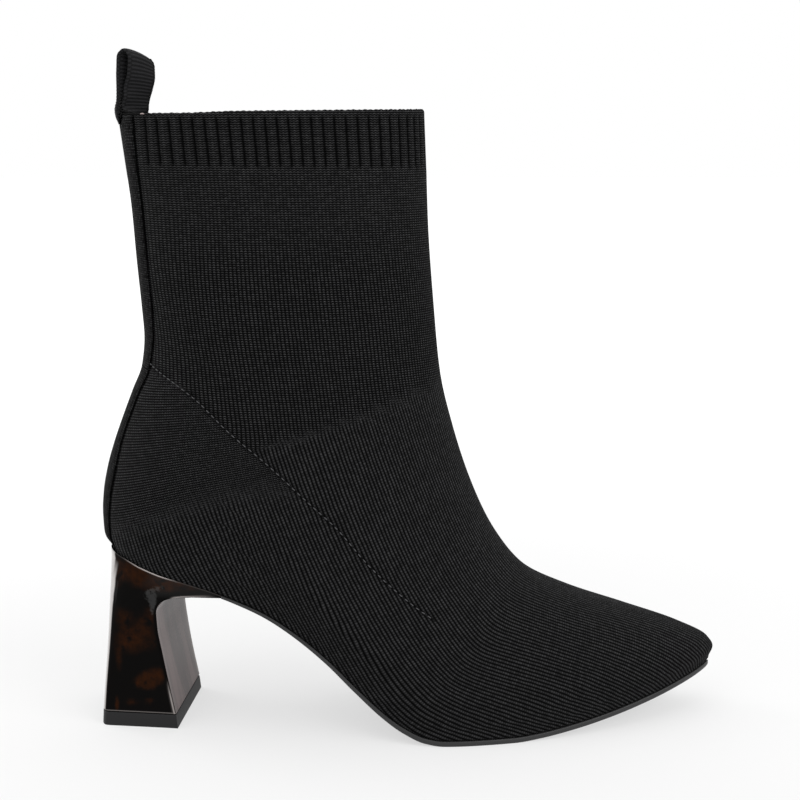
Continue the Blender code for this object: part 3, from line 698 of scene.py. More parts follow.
class Graph:
    """A material's node tree, with short calls for the sums that a pattern needs."""

    def __init__(self, name):
        self.material = bpy.data.materials.new(name)
        self.material.use_nodes = True
        self.tree = self.material.node_tree
        self.shader = self.tree.nodes["Principled BSDF"]

    def set(self, **values):
        """Sets or links the shader's sockets, named in lower case with _ for a space."""
        for name, value in values.items():
            self.join(value, self.shader.inputs[name.replace("_", " ").title().replace("Ior", "IOR")])

    def join(self, value, socket):
        if isinstance(value, bpy.types.NodeSocket):
            self.tree.links.new(value, socket)
        else:
            socket.default_value = value

    def add(self, kind, **settings):
        node = self.tree.nodes.new(kind)
        for name, value in settings.items():
            setattr(node, name, value)
        return node

    def math(self, operation, *values):
        node = self.add("ShaderNodeMath", operation=operation)
        for socket, value in zip(node.inputs, values):
            self.join(value, socket)
        return node.outputs[0]

    def field(self, name):
        """The three values of a field that the mesh carries."""
        node = self.add("ShaderNodeAttribute", attribute_name=name)
        return self.split(node.outputs["Vector"])

    def split(self, vector):
        node = self.add("ShaderNodeSeparateXYZ")
        self.join(vector, node.inputs[0])
        return node.outputs

    def gather(self, *values):
        node = self.add("ShaderNodeCombineXYZ")
        for socket, value in zip(node.inputs, values):
            self.join(value, socket)
        return node.outputs[0]

    def place(self):
        return self.add("ShaderNodeTexCoord").outputs["Object"]

    def noise(self, size, detail=2.0, vector=None, roughness=0.5):
        """Cloudy noise with features of about a size in metres."""
        node = self.add("ShaderNodeTexNoise")
        self.join(vector or self.place(), node.inputs["Vector"])
        node.inputs["Scale"].default_value = 1.0 / size
        node.inputs["Detail"].default_value = detail
        node.inputs["Roughness"].default_value = roughness
        return node.outputs["Fac"]

    def random(self, *values):
        """A random number for each set of whole numbers."""
        node = self.add("ShaderNodeTexWhiteNoise", noise_dimensions="3D")
        self.join(self.gather(*values), node.inputs["Vector"])
        return node.outputs["Value"]

    def between(self, share, low, high):
        node = self.add("ShaderNodeMix", data_type="FLOAT")
        for socket, value in zip((node.inputs[0], node.inputs[2], node.inputs[3]), (share, low, high)):
            self.join(value, socket)
        return node.outputs[0]

    def step(self, value, low, high):
        """A soft step from 0 at low to 1 at high."""
        node = self.add("ShaderNodeMapRange", interpolation_type="SMOOTHSTEP")
        for socket, given in zip(node.inputs, (value, low, high, 0.0, 1.0)):
            self.join(given, socket)
        return node.outputs[0]

    def tint(self, colour, strength):
        """A colour times a strength that varies over the surface."""
        node = self.add("ShaderNodeVectorMath", operation="SCALE")
        node.inputs[0].default_value = tuple(colour)
        self.join(strength, node.inputs["Scale"])
        return node.outputs[0]

    def blend(self, share, low, high):
        """A colour between two colours."""
        node = self.add("ShaderNodeMix", data_type="RGBA")
        for socket, value in zip((node.inputs[0], node.inputs[6], node.inputs[7]), (share, low, high)):
            self.join(value if isinstance(value, (bpy.types.NodeSocket, float)) else (*value, 1.0), socket)
        return node.outputs[2]

    def bump(self, height, distance, normal=None):
        node = self.add("ShaderNodeBump")
        node.inputs["Distance"].default_value = distance
        self.join(height, node.inputs["Height"])
        if normal:
            self.join(normal, node.inputs["Normal"])
        return node.outputs[0]


def ridge(graph, phase, power):
    """A round ridge in each whole step of a phase, and how far a point lies from its crest."""
    whole = graph.math("FLOOR", phase)
    part = graph.math("SUBTRACT", phase, whole)
    off_crest = graph.math("ABSOLUTE", graph.math("MULTIPLY_ADD", part, 2.0, -1.0))
    height = graph.math("SUBTRACT", 1.0, graph.math("POWER", off_crest, power))
    return height, whole, off_crest


def knit_grid(graph, field, wale_pitch, course_pitch, wander):
    """The ribs and beads of a knit field: heights of both, and a random number for each stitch."""
    wale, course, turn = graph.field(field)
    wale_phase = graph.math("DIVIDE", graph.math("ADD", wale, wander), wale_pitch)
    rib, wale_number, off_rib = ridge(graph, wale_phase, 2.2)
    crest = graph.math("MULTIPLY", graph.math("ADD", wale_number, 0.5), wale_pitch)
    bent_course = graph.math("MULTIPLY_ADD", crest, turn, course)
    course_phase = graph.math("MULTIPLY_ADD", off_rib, 0.3, graph.math("DIVIDE", bent_course, course_pitch))
    bead, course_number = ridge(graph, course_phase, 2.0)[:2]
    return rib, bead, graph.random(wale_number, course_number, 0.0)


def knit_relief(graph, rib, bead, rib_shape, bead_shape):
    """Height of a knit: ribs times beads, each as power, strength and the part that is always there."""
    ribs = graph.math("MULTIPLY_ADD", graph.math("POWER", rib, rib_shape[0]), *rib_shape[1:])
    beads = graph.math("MULTIPLY_ADD", graph.math("POWER", bead, bead_shape[0]), *bead_shape[1:])
    return graph.math("MULTIPLY", ribs, beads)


def knit_material(sizes, colour):
    """Black stretch knit: bold ribs on the foot, a grid of beads on shaft and counter; its colour follows the
    height of the knit, so the gaps are painted black as shade.
    """
    graph = Graph("black knit")
    course_pitch = sizes.course_pitch / MM
    shaft, counter, dark = graph.field("zone")
    wander = graph.math("MULTIPLY_ADD", graph.noise(5 * MM), 0.4, -0.2)
    shake = graph.math("MULTIPLY_ADD", graph.noise(2.5 * MM), 1.6, -0.8)
    grid_parts = knit_grid(graph, "shaft_knit", 1.0, course_pitch, graph.math("MULTIPLY", wander, 0.6))
    bold_parts = knit_grid(graph, "foot_knit", sizes.wale_pitch / MM, course_pitch * 1.2, wander)
    fine_parts = knit_grid(graph, "counter_knit", sizes.fine_pitch / MM, course_pitch, shake)
    rise = graph.field("shaft_knit")[1]
    cuff = graph.step(rise, 217.0, 219.0)
    high = graph.math("SUBTRACT", graph.step(rise, 175.0, 210.0), cuff)
    strength = graph.math("MULTIPLY_ADD", high, -0.38, graph.math("MULTIPLY_ADD", cuff, -0.5, 0.95))
    always = graph.math("MULTIPLY_ADD", high, 0.20, graph.math("MULTIPLY", cuff, 0.33))
    grid = knit_relief(graph, *grid_parts[:2], (2.5, strength, always), (4.0, 2.32, 0.0))
    bold = knit_relief(graph, *bold_parts[:2], (3.4, 0.86, 0.0), (2.0, 0.85, 0.47))
    fine = knit_relief(graph, *fine_parts[:2], (2.2, 0.66, 0.24), (5.0, 2.4, 0.0))
    height = graph.between(shaft, graph.between(counter, bold, fine), grid)
    chance = graph.between(shaft, graph.between(counter, bold_parts[2], fine_parts[2]), grid_parts[2])
    spark = graph.math("MULTIPLY_ADD", chance, 0.6, 0.7)
    tone = graph.math("MULTIPLY_ADD", graph.noise(6 * MM, 3.0), 0.3, 0.85)
    # dark carries painted shade along the counter's seam, in the cuff's grooves, beside the back tape, in the
    # crease at the sole and on the rim under the loop.
    open_share = graph.math("SUBTRACT", 1.0, dark)
    # Colour follows the height of ribs and beads: painted shade in the gaps between them.
    speckled = graph.math("MULTIPLY", height, spark)
    light = graph.math("MULTIPLY", speckled, graph.math("MULTIPLY", tone, open_share))
    graph.set(
        base_color=graph.tint(colour, graph.math("ADD", light, 0.02)),
        roughness=0.8,
        specular_ior_level=0.02,
        sheen_weight=0.008,
        sheen_roughness=0.4,
        normal=graph.bump(height, sizes.knit_relief),
    )
    return graph.material


def tape_material(colour):
    """Black knitted tape: close fine ribs along it, softer than the upper's knit; its colour follows their
    height, painting shade into the grooves, and edge paints shade on its rims.
    """
    graph = Graph("black tape")
    across, along, edge = graph.field("tape")
    fluff = graph.noise(1.3 * MM, 2.0)
    rib = ridge(graph, graph.math("DIVIDE", across, 0.95), 2.0)[0]
    bead = ridge(graph, graph.math("DIVIDE", along, 0.885), 2.0)[0]
    ribs = graph.math("MULTIPLY_ADD", graph.math("POWER", rib, 1.5), 0.8, 0.2)
    beads = graph.math("MULTIPLY_ADD", graph.math("POWER", bead, 3.0), 1.3, 0.05)
    height = graph.math("MULTIPLY", ribs, beads)
    strength = graph.math("MULTIPLY", height, graph.math("MULTIPLY_ADD", fluff, 5.0, -1.8))
    graph.set(
        base_color=graph.tint(colour, graph.math("MULTIPLY", strength, graph.math("SUBTRACT", 1.0, edge))),
        roughness=0.8,
        specular_ior_level=0.03,
        sheen_weight=0.01,
        normal=graph.bump(height, 0.15 * MM),
    )
    return graph.material


def webbing_material(colour):
    """Black ribbed webbing: fine threads across its ribs, and shade painted darker between them, as its
    colour follows the crest of the ribs.
    """
    graph = Graph("black webbing")
    across, crest = graph.field("weave")[1:3]
    thread = ridge(graph, graph.math("DIVIDE", across, 0.34), 2.0)[0]
    fluff = graph.noise(0.35 * MM, 2.0)
    height = graph.math("MULTIPLY_ADD", thread, 0.4, graph.math("MULTIPLY", fluff, 0.6))
    # Colour follows the crest: painted shade in the troughs and along the line inside each beaded edge.
    strength = graph.math("MULTIPLY_ADD", crest, 1.25, graph.math("MULTIPLY", fluff, 0.6))
    graph.set(
        base_color=graph.tint(colour, strength),
        roughness=0.7,
        specular_ior_level=0.1,
        sheen_weight=0.02,
        normal=graph.bump(height, 0.10 * MM),
    )
    return graph.material


def thread_material(name, colour):
    """Waxed sewing thread, a little lighter than the knit."""
    graph = Graph(name)
    twist = graph.noise(0.3 * MM, 1.0)
    graph.set(
        base_color=graph.tint(colour, graph.math("MULTIPLY_ADD", twist, 0.8, 0.6)),
        roughness=0.55,
        specular_ior_level=0.4,
        normal=graph.bump(twist, 0.08 * MM),
    )
    return graph.material


def rubber_material(name, colour, roughness, grain):
    """Moulded black rubber with a fine grain and rubbed patches."""
    graph = Graph(name)
    pebble = graph.noise(grain, 3.0)
    rub = graph.noise(14 * MM, 3.0)
    graph.set(
        base_color=graph.tint(colour, graph.math("MULTIPLY_ADD", rub, 0.5, 0.75)),
        roughness=graph.math("MULTIPLY_ADD", rub, 0.16, roughness - 0.08),
        specular_ior_level=0.28,
        normal=graph.bump(pebble, 0.05 * MM),
    )
    return graph.material


def tread_material(colour):
    """Black rubber sole: satin at its edge, with fine wavy tread underneath."""
    graph = Graph("black sole rubber")
    under = graph.step(graph.split(graph.add("ShaderNodeNewGeometry").outputs["True Normal"])[2], -0.55, -0.9)
    x, y = graph.split(graph.place())[0:2]
    wave = graph.math("MULTIPLY", graph.math("SINE", graph.math("MULTIPLY", y, 700.0)), 1.2 * MM)
    line = ridge(graph, graph.math("DIVIDE", graph.math("ADD", x, wave), 3.2 * MM), 4.0)[0]
    pebble = graph.noise(0.5 * MM, 2.0)
    tread = graph.math("MULTIPLY", graph.math("MULTIPLY", line, under), 3.0)
    height = graph.math("MULTIPLY_ADD", pebble, 0.25, tread)
    rub = graph.noise(18 * MM, 3.0)
    graph.set(
        base_color=graph.tint(colour, graph.math("MULTIPLY_ADD", rub, 0.5, 0.75)),
        roughness=graph.math("MULTIPLY_ADD", rub, 0.12, 0.34),
        specular_ior_level=0.3,
        normal=graph.bump(height, 0.16 * MM),
    )
    return graph.material


def lining_material(colour):
    """Black lining cloth over the insole board: a plain weave."""
    graph = Graph("black lining")
    x, y = graph.split(graph.place())[0:2]
    warp, warp_number = ridge(graph, graph.math("DIVIDE", x, 0.8 * MM), 2.0)[:2]
    weft, weft_number = ridge(graph, graph.math("DIVIDE", y, 0.8 * MM), 2.0)[:2]
    odd = graph.math("MODULO", graph.math("ABSOLUTE", graph.math("ADD", warp_number, weft_number)), 2.0)
    height = graph.between(odd, warp, weft)
    graph.set(
        base_color=graph.tint(colour, graph.math("MULTIPLY_ADD", height, 0.8, 0.5)),
        roughness=0.85,
        specular_ior_level=0.2,
        normal=graph.bump(height, 0.15 * MM),
    )
    return graph.material


def tortoiseshell_material(dark, amber, breast, painted_highlight_colour):
    """Glossy near-black plastic with soft amber-brown clouds; its breast carries a painted reflection of the
    pale room in streaks, and its lit edges carry painted highlights.
    """
    graph = Graph("tortoiseshell")
    patch, front, ragged = graph.field("amber")
    gloss, ior, highlight = graph.field("gloss")
    cloud = graph.noise(7 * MM, 5.0, roughness=0.65)
    cloudy = graph.math("MULTIPLY", patch, graph.math("MULTIPLY_ADD", cloud, 2.2, -0.3))
    deep = graph.noise(2.5 * MM, 4.0)
    dots = graph.step(graph.noise(4.5 * MM, 2.0), 0.74, 0.54)
    dotted = graph.math("MULTIPLY", graph.step(cloudy, 0.15, 1.05), dots)
    glow = graph.math("MULTIPLY", dotted, graph.math("MULTIPLY_ADD", deep, 0.9, 0.05))
    # Painted reflection on the breast: streaks of a lighter and a darker grey-mauve stand in for the mirrored
    # room.
    y, z = graph.split(graph.place())[1:3]
    slanted = graph.gather(graph.math("MULTIPLY_ADD", z, 0.06, y), graph.math("MULTIPLY", z, 0.15), 0.0)
    streak = graph.step(graph.noise(11 * MM, 3.0, slanted), 0.35, 0.65)
    mirror = graph.blend(streak, breast, tuple(2.6 * part for part in breast))
    shell = graph.blend(front, graph.blend(glow, dark, amber), mirror)
    tear = graph.math("MULTIPLY_ADD", graph.noise(1.3 * MM, 3.0), 2.6, -0.3)
    torn = graph.math("MULTIPLY", ragged, tear)
    mirrored = graph.math("MULTIPLY", graph.step(torn, 0.28, 0.85), 0.85)
    graph.set(
        # Painted highlights: the highlight colour is mixed over the shell along lit edges and lines.
        base_color=graph.blend(highlight, shell, painted_highlight_colour),
        roughness=0.25,
        specular_ior_level=0.0,
        coat_weight=graph.math("MAXIMUM", gloss, mirrored),
        coat_roughness=0.04,
        coat_ior=ior,
    )
    return graph.material


def rib_groove(numbers):
    """How deep the cuff is cut at each rib number, from 0 on a rib to 1 in a groove."""
    across = np.abs(np.mod(numbers + 0.5, 1.0) - 0.5)
    return np.where(numbers < 0.3, 0.0, bell(across, 0.0, 0.145))


def upper_levels(sizes):
    """Levels of the upper's outside: close on the foot and the cuff, wider apart on the shaft."""
    cuff_foot = level_at_height(COLLAR_HEIGHT - sizes.rib_band / MM)
    foot = np.linspace(0.0, TAPE_JOINT_LEVEL, 92)
    shaft = np.linspace(TAPE_JOINT_LEVEL, cuff_foot - 0.06, 26)
    cuff = np.linspace(cuff_foot - 0.04, level_at_height(COLLAR_HEIGHT - WALL / 2), 22)
    return np.concatenate([foot, shaft[1:], cuff])


def seat_tuck(points):
    """How far points of the upper are drawn in behind the heel's edge."""
    above = points[:, 2] - sole_height(points[:, 0])
    return TUCK * (1 - ease(points[:, 0], *TUCK_END)) * bell(above, 0.0, TUCK_HEIGHT)


def build_upper(sizes, colours):
    """The knitted sock, foot, shaft and ribbed cuff, with a rolled rim and its inside."""
    rows = KnitRows()
    groove = rib_groove(rows.numbers)
    beside_tape = bell(rows.numbers, 0.05, 0.075)
    band, depth = sizes.rib_band / MM, sizes.rib_depth / MM
    corner = [(CORNER + LASTING_MARGIN, 0.0)]
    for angle in np.radians((0.0, 22.0, 45.0, 68.0, 90.0)):
        corner.append((EDGE_ROUND * (1 - math.sin(angle)), EDGE_ROUND * (1 - math.cos(angle))))
    for inset, up in corner:
        places = rib_places(0.0)
        points = sole_outline(places, inset, up)
        points = sole_outline(places, inset + seat_tuck(points) * up / EDGE_ROUND, up)
        rows.go_to(0.0, points)
        # Painted shade in the crease where the upper's edge turns under to the sole.
        rows.add(points, dark=0.8 * bell(up, 0.0, 0.7))
    for level in upper_levels(sizes):
        rows.go_to(level)
        below_rim = COLLAR_HEIGHT - smooth(LEVELS, SECTION["front_up"], level)
        ribbed = ease(band - below_rim, -0.6, 1.8) * ease(below_rim, 1.2, 2.6)
        dent = TAPE_GROOVE * beside_tape + SEAM_DENT * bell(rows.seam_gap, 0.0, 1.1)
        out = -depth * groove * ribbed - dent - seat_tuck(section(level, rows.around))
        # Painted shade in the cuff's grooves and in the groove beside the back tape.
        rows.add(skin(level, rows.around, out), dark=0.92 * np.maximum(groove * ribbed, beside_tape))
    top = upper_levels(sizes)[-1]
    normal = outward(top, rows.around)
    bead = 0.11 * np.cos(4 * np.pi * rows.numbers) + 0.06 * np.sin(5.3 * rows.numbers)
    for angle in np.radians((22.0, 45.0, 68.0, 90.0, 112.0, 135.0, 158.0)):
        inward = WALL / 2 * (1 - np.cos(angle))
        points = section(top, rows.around) - normal * inward
        lift = RIM_LIFT * ease(points[:, 0], 38.0, 60.0) + RIM_BACK * (1 - ease(points[:, 0], 14.5, 19.0))
        points[:, 2] += (WALL / 2 - bead + lift) * np.sin(angle)
        rows.go_to(top, points)
        # Painted shade on the rim at the back, beside the tape and under the pull loop.
        rows.add(points, dark=0.75 * (1 - ease(rows.numbers, 0.8, 2.2)))
    for level in np.concatenate([np.linspace(top, TAPE_JOINT_LEVEL, 9), np.linspace(7.5, 0.25, 18)]):
        rows.go_to(level)
        rows.add(skin(level, rows.around, -WALL))
    rows.add(sole_outline(rows.around, CORNER + WALL, WALL))
    rows.add(sole_outline(rows.around, CORNER + LASTING_MARGIN, WALL))
    faces = ring_faces(len(rows.points), len(rows.numbers), closed=True)
    material = knit_material(sizes, colours.knit)
    return add_piece(
        "knit_upper", np.concatenate(rows.points), faces, material, ("upper",), rows.mesh_fields()
    )


def tape_line(level, across):
    """Points and outward directions across the back tape, whose sides reach up beside the loop."""
    levels = level + TAPE_SHOULDER * ease(np.abs(across), 0.5, 0.64) * ease(level, 13.0, TAPE_TOP_LEVEL)
    places = (across * tape_edge(levels) / 2)[:, None]
    points = np.concatenate([section(at, place) for at, place in zip(levels, places)])
    return points, np.concatenate([outward(at, place) for at, place in zip(levels, places)])


def build_tape(name, node, lines, across, material, start):
    """A knitted tape down the back seam, its edges turned down; start is how much of its taper is past."""
    crown = TAPE * (1 - 0.7 * np.abs(across) ** 8) + TAPE_PUFF * (1 - across**2)
    middle_line = np.array([points[len(across) // 2] for points, normal in lines])
    run = run_of(middle_line)
    rows, fields = [], []
    for (points, normal), reach in zip(lines, run):
        thick = 0.08 + crown * (0.04 + 0.96 * ease(reach + start, 0.0, TAPE_TAPER))
        rows.append(np.concatenate([points + 0.06 * normal, (points + thick[:, None] * normal)[::-1]]))
        place = np.concatenate([across, across[::-1]]) * np.linalg.norm(points[-1] - points[0]) / 2
        # Painted shade: full on the tape's hidden underside and most of it on its turned-down edges.
        edge = np.concatenate([np.ones(len(across)), 0.8 * (np.abs(across) > 0.995)])
        fields.append(np.stack([place + 40.0, np.full(len(place), reach), edge], axis=-1))
    faces = closed_stack(rows, folded_end)
    fields = {"tape": np.concatenate(fields)}
    return add_piece(name, np.concatenate(rows), faces, material, (node,), fields, sharp_angle=60.0)


def build_tapes(colours):
    """The counter's tape, which thins out to the heel, and the shaft's above it."""
    material = tape_material(colours.tape)
    inner = np.linspace(-0.96, 0.96, 21)
    across = np.concatenate([[-1.0, -0.99], inner, [0.99, 1.0]])
    counter = [tape_line(level, across) for level in np.linspace(0.0, TAPE_JOINT_LEVEL, 60)]
    build_tape("back_tape_counter", "counter_tape", counter, across, material, 0.0)
    shaft = [tape_line(level, across) for level in np.linspace(TAPE_JOINT_LEVEL + 0.04, TAPE_TOP_LEVEL, 60)]
    build_tape("back_tape_shaft", "shaft_tape", shaft, across, material, TAPE_TAPER)


def capsule(start, end, normal, radius, sink):
    """A short stitch from start to end whose ends dip into the knit, as points and faces."""
    sides = 8
    along = end - start
    beside = np.cross(normal, along)
    beside /= np.linalg.norm(beside)
    share = np.array([0.0, 0.12, 0.32, 0.5, 0.68, 0.88, 1.0])
    girth = np.array([0.25, 0.75, 1.0, 1.0, 1.0, 0.75, 0.25]) * radius
    arch = -sink * (2 * share - 1) ** 4
    angle = 2 * np.pi * turns(sides)
    ring = np.cos(angle)[:, None] * beside + np.sin(angle)[:, None] * normal
    points = [start + s * along + a * normal + g * ring for s, a, g in zip(share, arch, girth)]
    faces = ring_faces(len(share), sides)
    last = (len(share) - 1) * sides
    faces += [tuple(range(sides)), tuple(range(last, last + sides))]
    return np.concatenate(points), faces


def build_stitches(sizes, colours):
    """The counter's seam as a row of stitches on both sides of the boot."""
    pitch, length = sizes.stitch_pitch / MM, sizes.stitch_length / MM
    points, faces, count = [], [], 0
    for side in (0, 1):
        path, normals, run = seam_path(side)
        starts = np.arange(0.8, run[-1] - length, pitch)
        tails, heads = (along_path(run, path, starts + more) for more in (0.0, length))
        squares = along_path(run, normals, starts + length / 2)
        for tail, head, square in zip(tails, heads, squares):
            made, quads = capsule(tail, head, square / np.linalg.norm(square), sizes.thread / MM / 2, 0.3)
            points.append(made)
            faces += [tuple(i + count for i in face) for face in quads]
            count += len(made)
    material = thread_material("seam thread", colours.thread)
    return add_piece("counter_stitches", np.concatenate(points), faces, material)


def build_tack(sizes, colours):
    """The bar of pale thread on the collar's rim, beside the pull loop."""
    level = upper_levels(sizes)[-1]
    places = np.array([TACK_PLACE, TACK_PLACE + TACK_REACH])
    ends = skin(level, places, -0.15) + np.array([0.0, 0.0, 0.8])
    square = outward(level, places)[0] + np.array([0.0, 0.0, 1.0])
    points, faces = capsule(*ends, square / np.linalg.norm(square), sizes.thread / MM / 2, 0.2)
    return add_piece("loop_tack", points, faces, thread_material("tack thread", colours.tack))


def build_loop(sizes, colours):
    """A band of ribbed webbing over the back of the collar, with beaded edges."""
    rows = np.arange(len(LOOP_PATH), dtype=float)
    fine = np.linspace(0.0, rows[-1], 1500)
    rough = np.stack([smooth(rows, LOOP[name], fine) for name in ("along", "height")], axis=-1)
    run = run_of(rough)
    steps = 460
    reach = np.linspace(0.0, run[-1], steps)
    at = np.interp(reach, run, fine)
    place = {name: smooth(rows, values, at) for name, values in LOOP.items()}
    path = np.stack([place["along"], np.zeros(steps), place["height"]], axis=-1)
    ahead = np.gradient(path, axis=0)
    ahead /= np.linalg.norm(ahead, axis=1, keepdims=True)
    turn = np.radians(place["turn"])
    width_mm = sizes.webbing_width / MM
    width = np.stack([np.sin(turn), np.cos(turn), -place["dip"] / width_mm], axis=-1)
    face = np.cross(width, ahead)
    face /= np.linalg.norm(face, axis=1, keepdims=True)
    across = np.concatenate([[-1.0, -0.985, -0.94, -0.89, -0.86, -0.82], np.linspace(-0.76, 0.76, 9)])
    across = np.concatenate([across, -across[5::-1]])
    between = bell(np.abs(across), 0.84, 0.035)
    edge = ease(np.abs(across), 0.85, 0.89)
    taper = np.sqrt(np.clip(1 - ease(np.abs(across), 0.90, 1.0), 0.08, 1.0))
    centre = float(middle(LOOP["along"][0]))
    points, weave = [], []
    for i in range(steps):
        phase = reach[i] / (sizes.webbing_rib / MM)
        rib = 0.5 + 0.5 * math.cos(2 * math.pi * phase)
        bead = 0.5 + 0.5 * math.cos(2 * math.pi * (phase + 0.5))
        # The crest also sets the webbing's colour, which paints shade in its troughs.
        crest = (rib * (1 - edge) + bead * edge) * (1 - 0.9 * between)
        thick = (0.46 + 0.19 * crest + 0.10 * edge) * taper * (0.4 + 0.6 * ease(reach[i], 0.0, 3.0))
        spread = path[i] + np.outer(across, width[i]) * width_mm / 2
        spread[:, 0] += place["bow"][i] * across**2
        spread[:, 2] += place["dip"][i] * ((1 + across) / 2 - ((1 + across) / 2) ** 1.8)
        spread[:, 1] += centre
        lift = thick[:, None] * face[i]
        points.append(np.concatenate([spread + lift, (spread - lift)[::-1]]))
        both = np.concatenate([across, across[::-1]]) * width_mm / 2
        high = np.concatenate([crest, crest[::-1]])
        weave.append(np.stack([np.full(len(both), reach[i]), both + 20.0, high], axis=-1))
    faces = closed_stack(points, folded_end)
    points = np.concatenate(points)
    fields = {"weave": np.concatenate(weave)}
    material = webbing_material(colours.webbing)
    return add_piece("webbing_loop", points, faces, material, ("pull_loop",), fields)


def build_insole(colours):
    """The lined insole board, a little dished, lying on the lasting margin."""
    around = turns(256)
    floor = WALL + GAP
    profile = ((0.0, 0.0), (-0.5, 0.5), (-0.4, 0.8), (0.3, 1.0), (3.0, 0.96), (8.0, 0.90), (14.0, 0.84))
    rows = [sole_outline(around, INSOLE_INSET + inset, floor + share * INSOLE) for inset, share in profile]
    faces = closed_stack(rows, rungs)
    points = np.concatenate(rows)
    material = lining_material(colours.lining)
    return add_piece("lined_insole", points, faces, material, ("insole",), sharp_angle=50.0)


def sole_thickness(along):
    return smooth(DEPTH["along"], DEPTH["thickness"], along)


def build_outsole(colours):
    """The thin rubber sole from the heel's wing over arch and ball to the sprung toe."""
    places = turns(720)[:361]
    along = sole_outline(places, SOLE_EDGE_INSET, 0.0)[:, 0]
    start = np.interp(WING_TIP, along, places)
    side = np.linspace(start, 0.5, 200)
    around = np.concatenate([side, 1 - side[-2::-1]])
    profile = (
        (3.0, 0.0), (0.42, 0.0), (0.12, 0.05), (0.0, 0.16), (0.0, 0.70), (0.10, 0.86), (0.34, 0.97),
        (0.7, 1.0), (3.0, 1.0),
    )
    rows = []
    for inset, share in profile:
        ring = sole_outline(around, SOLE_EDGE_INSET + inset, 0.0)
        ring[:, 2] = sole_height(ring[:, 0], -0.05 - share * (GAP + sole_thickness(ring[:, 0]) - 0.05))
        rows.append(ring)
    faces = closed_stack(rows, folded_end)
    points = np.concatenate(rows)
    material = tread_material(colours.sole)
    return add_piece("rubber_outsole", points, faces, material, ("outsole",), sharp_angle=50.0)


def heel_ring(row, around):
    """One section of the heel block: a round back, slanted sides and a straight breast."""
    fold = fold_of(around)
    share = np.clip(fold / (1 - BREAST_SHARE), 0.0, 1.0)
    share = (1 - np.cos(np.pi * share / 2)) ** 1.25
    length = row["front_x"] - row["back_in"]
    half = row["back_half"] + share * (row["front_half"] - row["back_half"])
    half = half * round_end(share * length / row["cap"], row["square"], 1 / row["square"])
    half = half * np.clip((1 - fold) / BREAST_SHARE, 0.0, 1.0)
    side = np.where(around < 0.5, -1.0, 1.0)
    along = row["back_in"] + share * length + share * row["skew"] * BREAST_SKEW * side * half
    height = row["back_z"] + share * (row["front_z"] - row["back_z"])
    return np.stack([along, middle(along) + side * half, height], axis=-1)


def heel_row(place):
    rows = np.arange(len(HEEL_SECTIONS), dtype=float)
    return {name: float(smooth(rows, values, place)) for name, values in HEEL.items()}


def taken_in(row, inset):
    """A heel section made smaller all round."""
    return dict(
        row, back_in=row["back_in"] + inset, front_x=row["front_x"] - inset,
        back_half=row["back_half"] - inset, front_half=row["front_half"] - inset,
    )


def heel_seat_ring(around, inset, out, rise=0.0):
    """The heel's upper edge, round the seat and out along the wing; rise is its share of SEAT_RISE."""
    row = dict(heel_row(len(HEEL_SECTIONS) - 1.0), front_x=WING_TIP, skew=0.0, cap=27.0, square=2.0)
    row["back_in"] = SECTION["back_in"][0] + inset - SEAT_OUT
    ring = heel_ring(row, around)
    edge = section_row(0.0)
    length = BOOT_LENGTH - edge["toe_in"] - edge["back_in"]
    further = ring[:, 0] + SEAT_OUT * np.clip(1 - ring[:, 0] / 40.0, 0.0, 1.0)
    share = np.clip((further - edge["back_in"]) / length, 0.0, 1.0)
    edge_half = aside(edge, share, around)
    fold = fold_of(around)
    breast = np.clip((1 - fold) / BREAST_SHARE, 0.0, 1.0)
    half = np.sign(edge_half) * np.maximum(np.abs(edge_half) - inset, 0.0) * breast
    half = np.where(fold == 0.0, 0.0, half)
    ring[:, 1] = middle(ring[:, 0]) + half
    ring[:, 2] = sole_height(ring[:, 0], out + rise * np.interp(ring[:, 0], RISE["along"], RISE["rise"]))
    return ring


def heel_places():
    """Places around the heel, closer at the corners of its breast."""
    corner = 1 - BREAST_SHARE
    side = np.linspace(0.0, corner - 0.04, 74)
    before_corner = corner - np.array([0.028, 0.018, 0.010, 0.004])
    breast = corner + np.array([0.0, 0.0025, 0.006, 0.010, 0.018, 0.035, 0.06, 0.09, BREAST_SHARE])
    fold = np.concatenate([side, before_corner, breast])
    return np.concatenate([fold, 2 - fold[-2:0:-1]]) / 2


def patches(table, points):
    """How far points lie in a table's patches on the outer side; the inner side has them turned about."""
    outer = points[:, 1] < middle(points[:, 0])
    along = np.where(outer, points[:, 0], PATCH_TURN[0] - points[:, 0])
    height = np.where(outer, points[:, 2], PATCH_TURN[1] - points[:, 2])
    field = np.zeros(len(points))
    for x, z, reach, rise, strength in table:
        field += strength * bell(along, x, reach) * bell(height, z, rise)
    return field


def heel_lights(along, height, fold, near, front, back, row, last_row):
    """Painted highlights of lit edges and lines of the heel, from 0 to 1; last_row is the ring that the upper
    hides.
    """
    corner = 1 - BREAST_SHARE
    side = 1 - front
    seat = (row == last_row - 1) * (0.05 + 0.8 * bell(along, 21.5, 8.5, 4)) * side
    foot = (row == 1) * 0.25 * side
    breast_edge = bell(fold, corner, 0.014) * front * np.where(near, 0.10, 0.25)
    strip = 0.55 * back * ease(fold, 0.06, 0.14) * (row < last_row - 1)
    above_edge = height - np.interp(along, HEEL["front_x"][4:], HEEL["front_z"][4:])
    under_wing = 0.45 * bell(above_edge, 0.6, 0.28) * (height > 45.0) * side
    under_wing *= ease(along, 27.0, 30.0) * (1 - ease(along, 42.0, 46.0))
    low_corner = 0.5 * bell(fold, corner - 0.010, 0.005) * (1 - ease(height, 12.0, 20.0)) * side
    return np.maximum.reduce([seat, foot, breast_edge, strip, under_wing, low_corner])


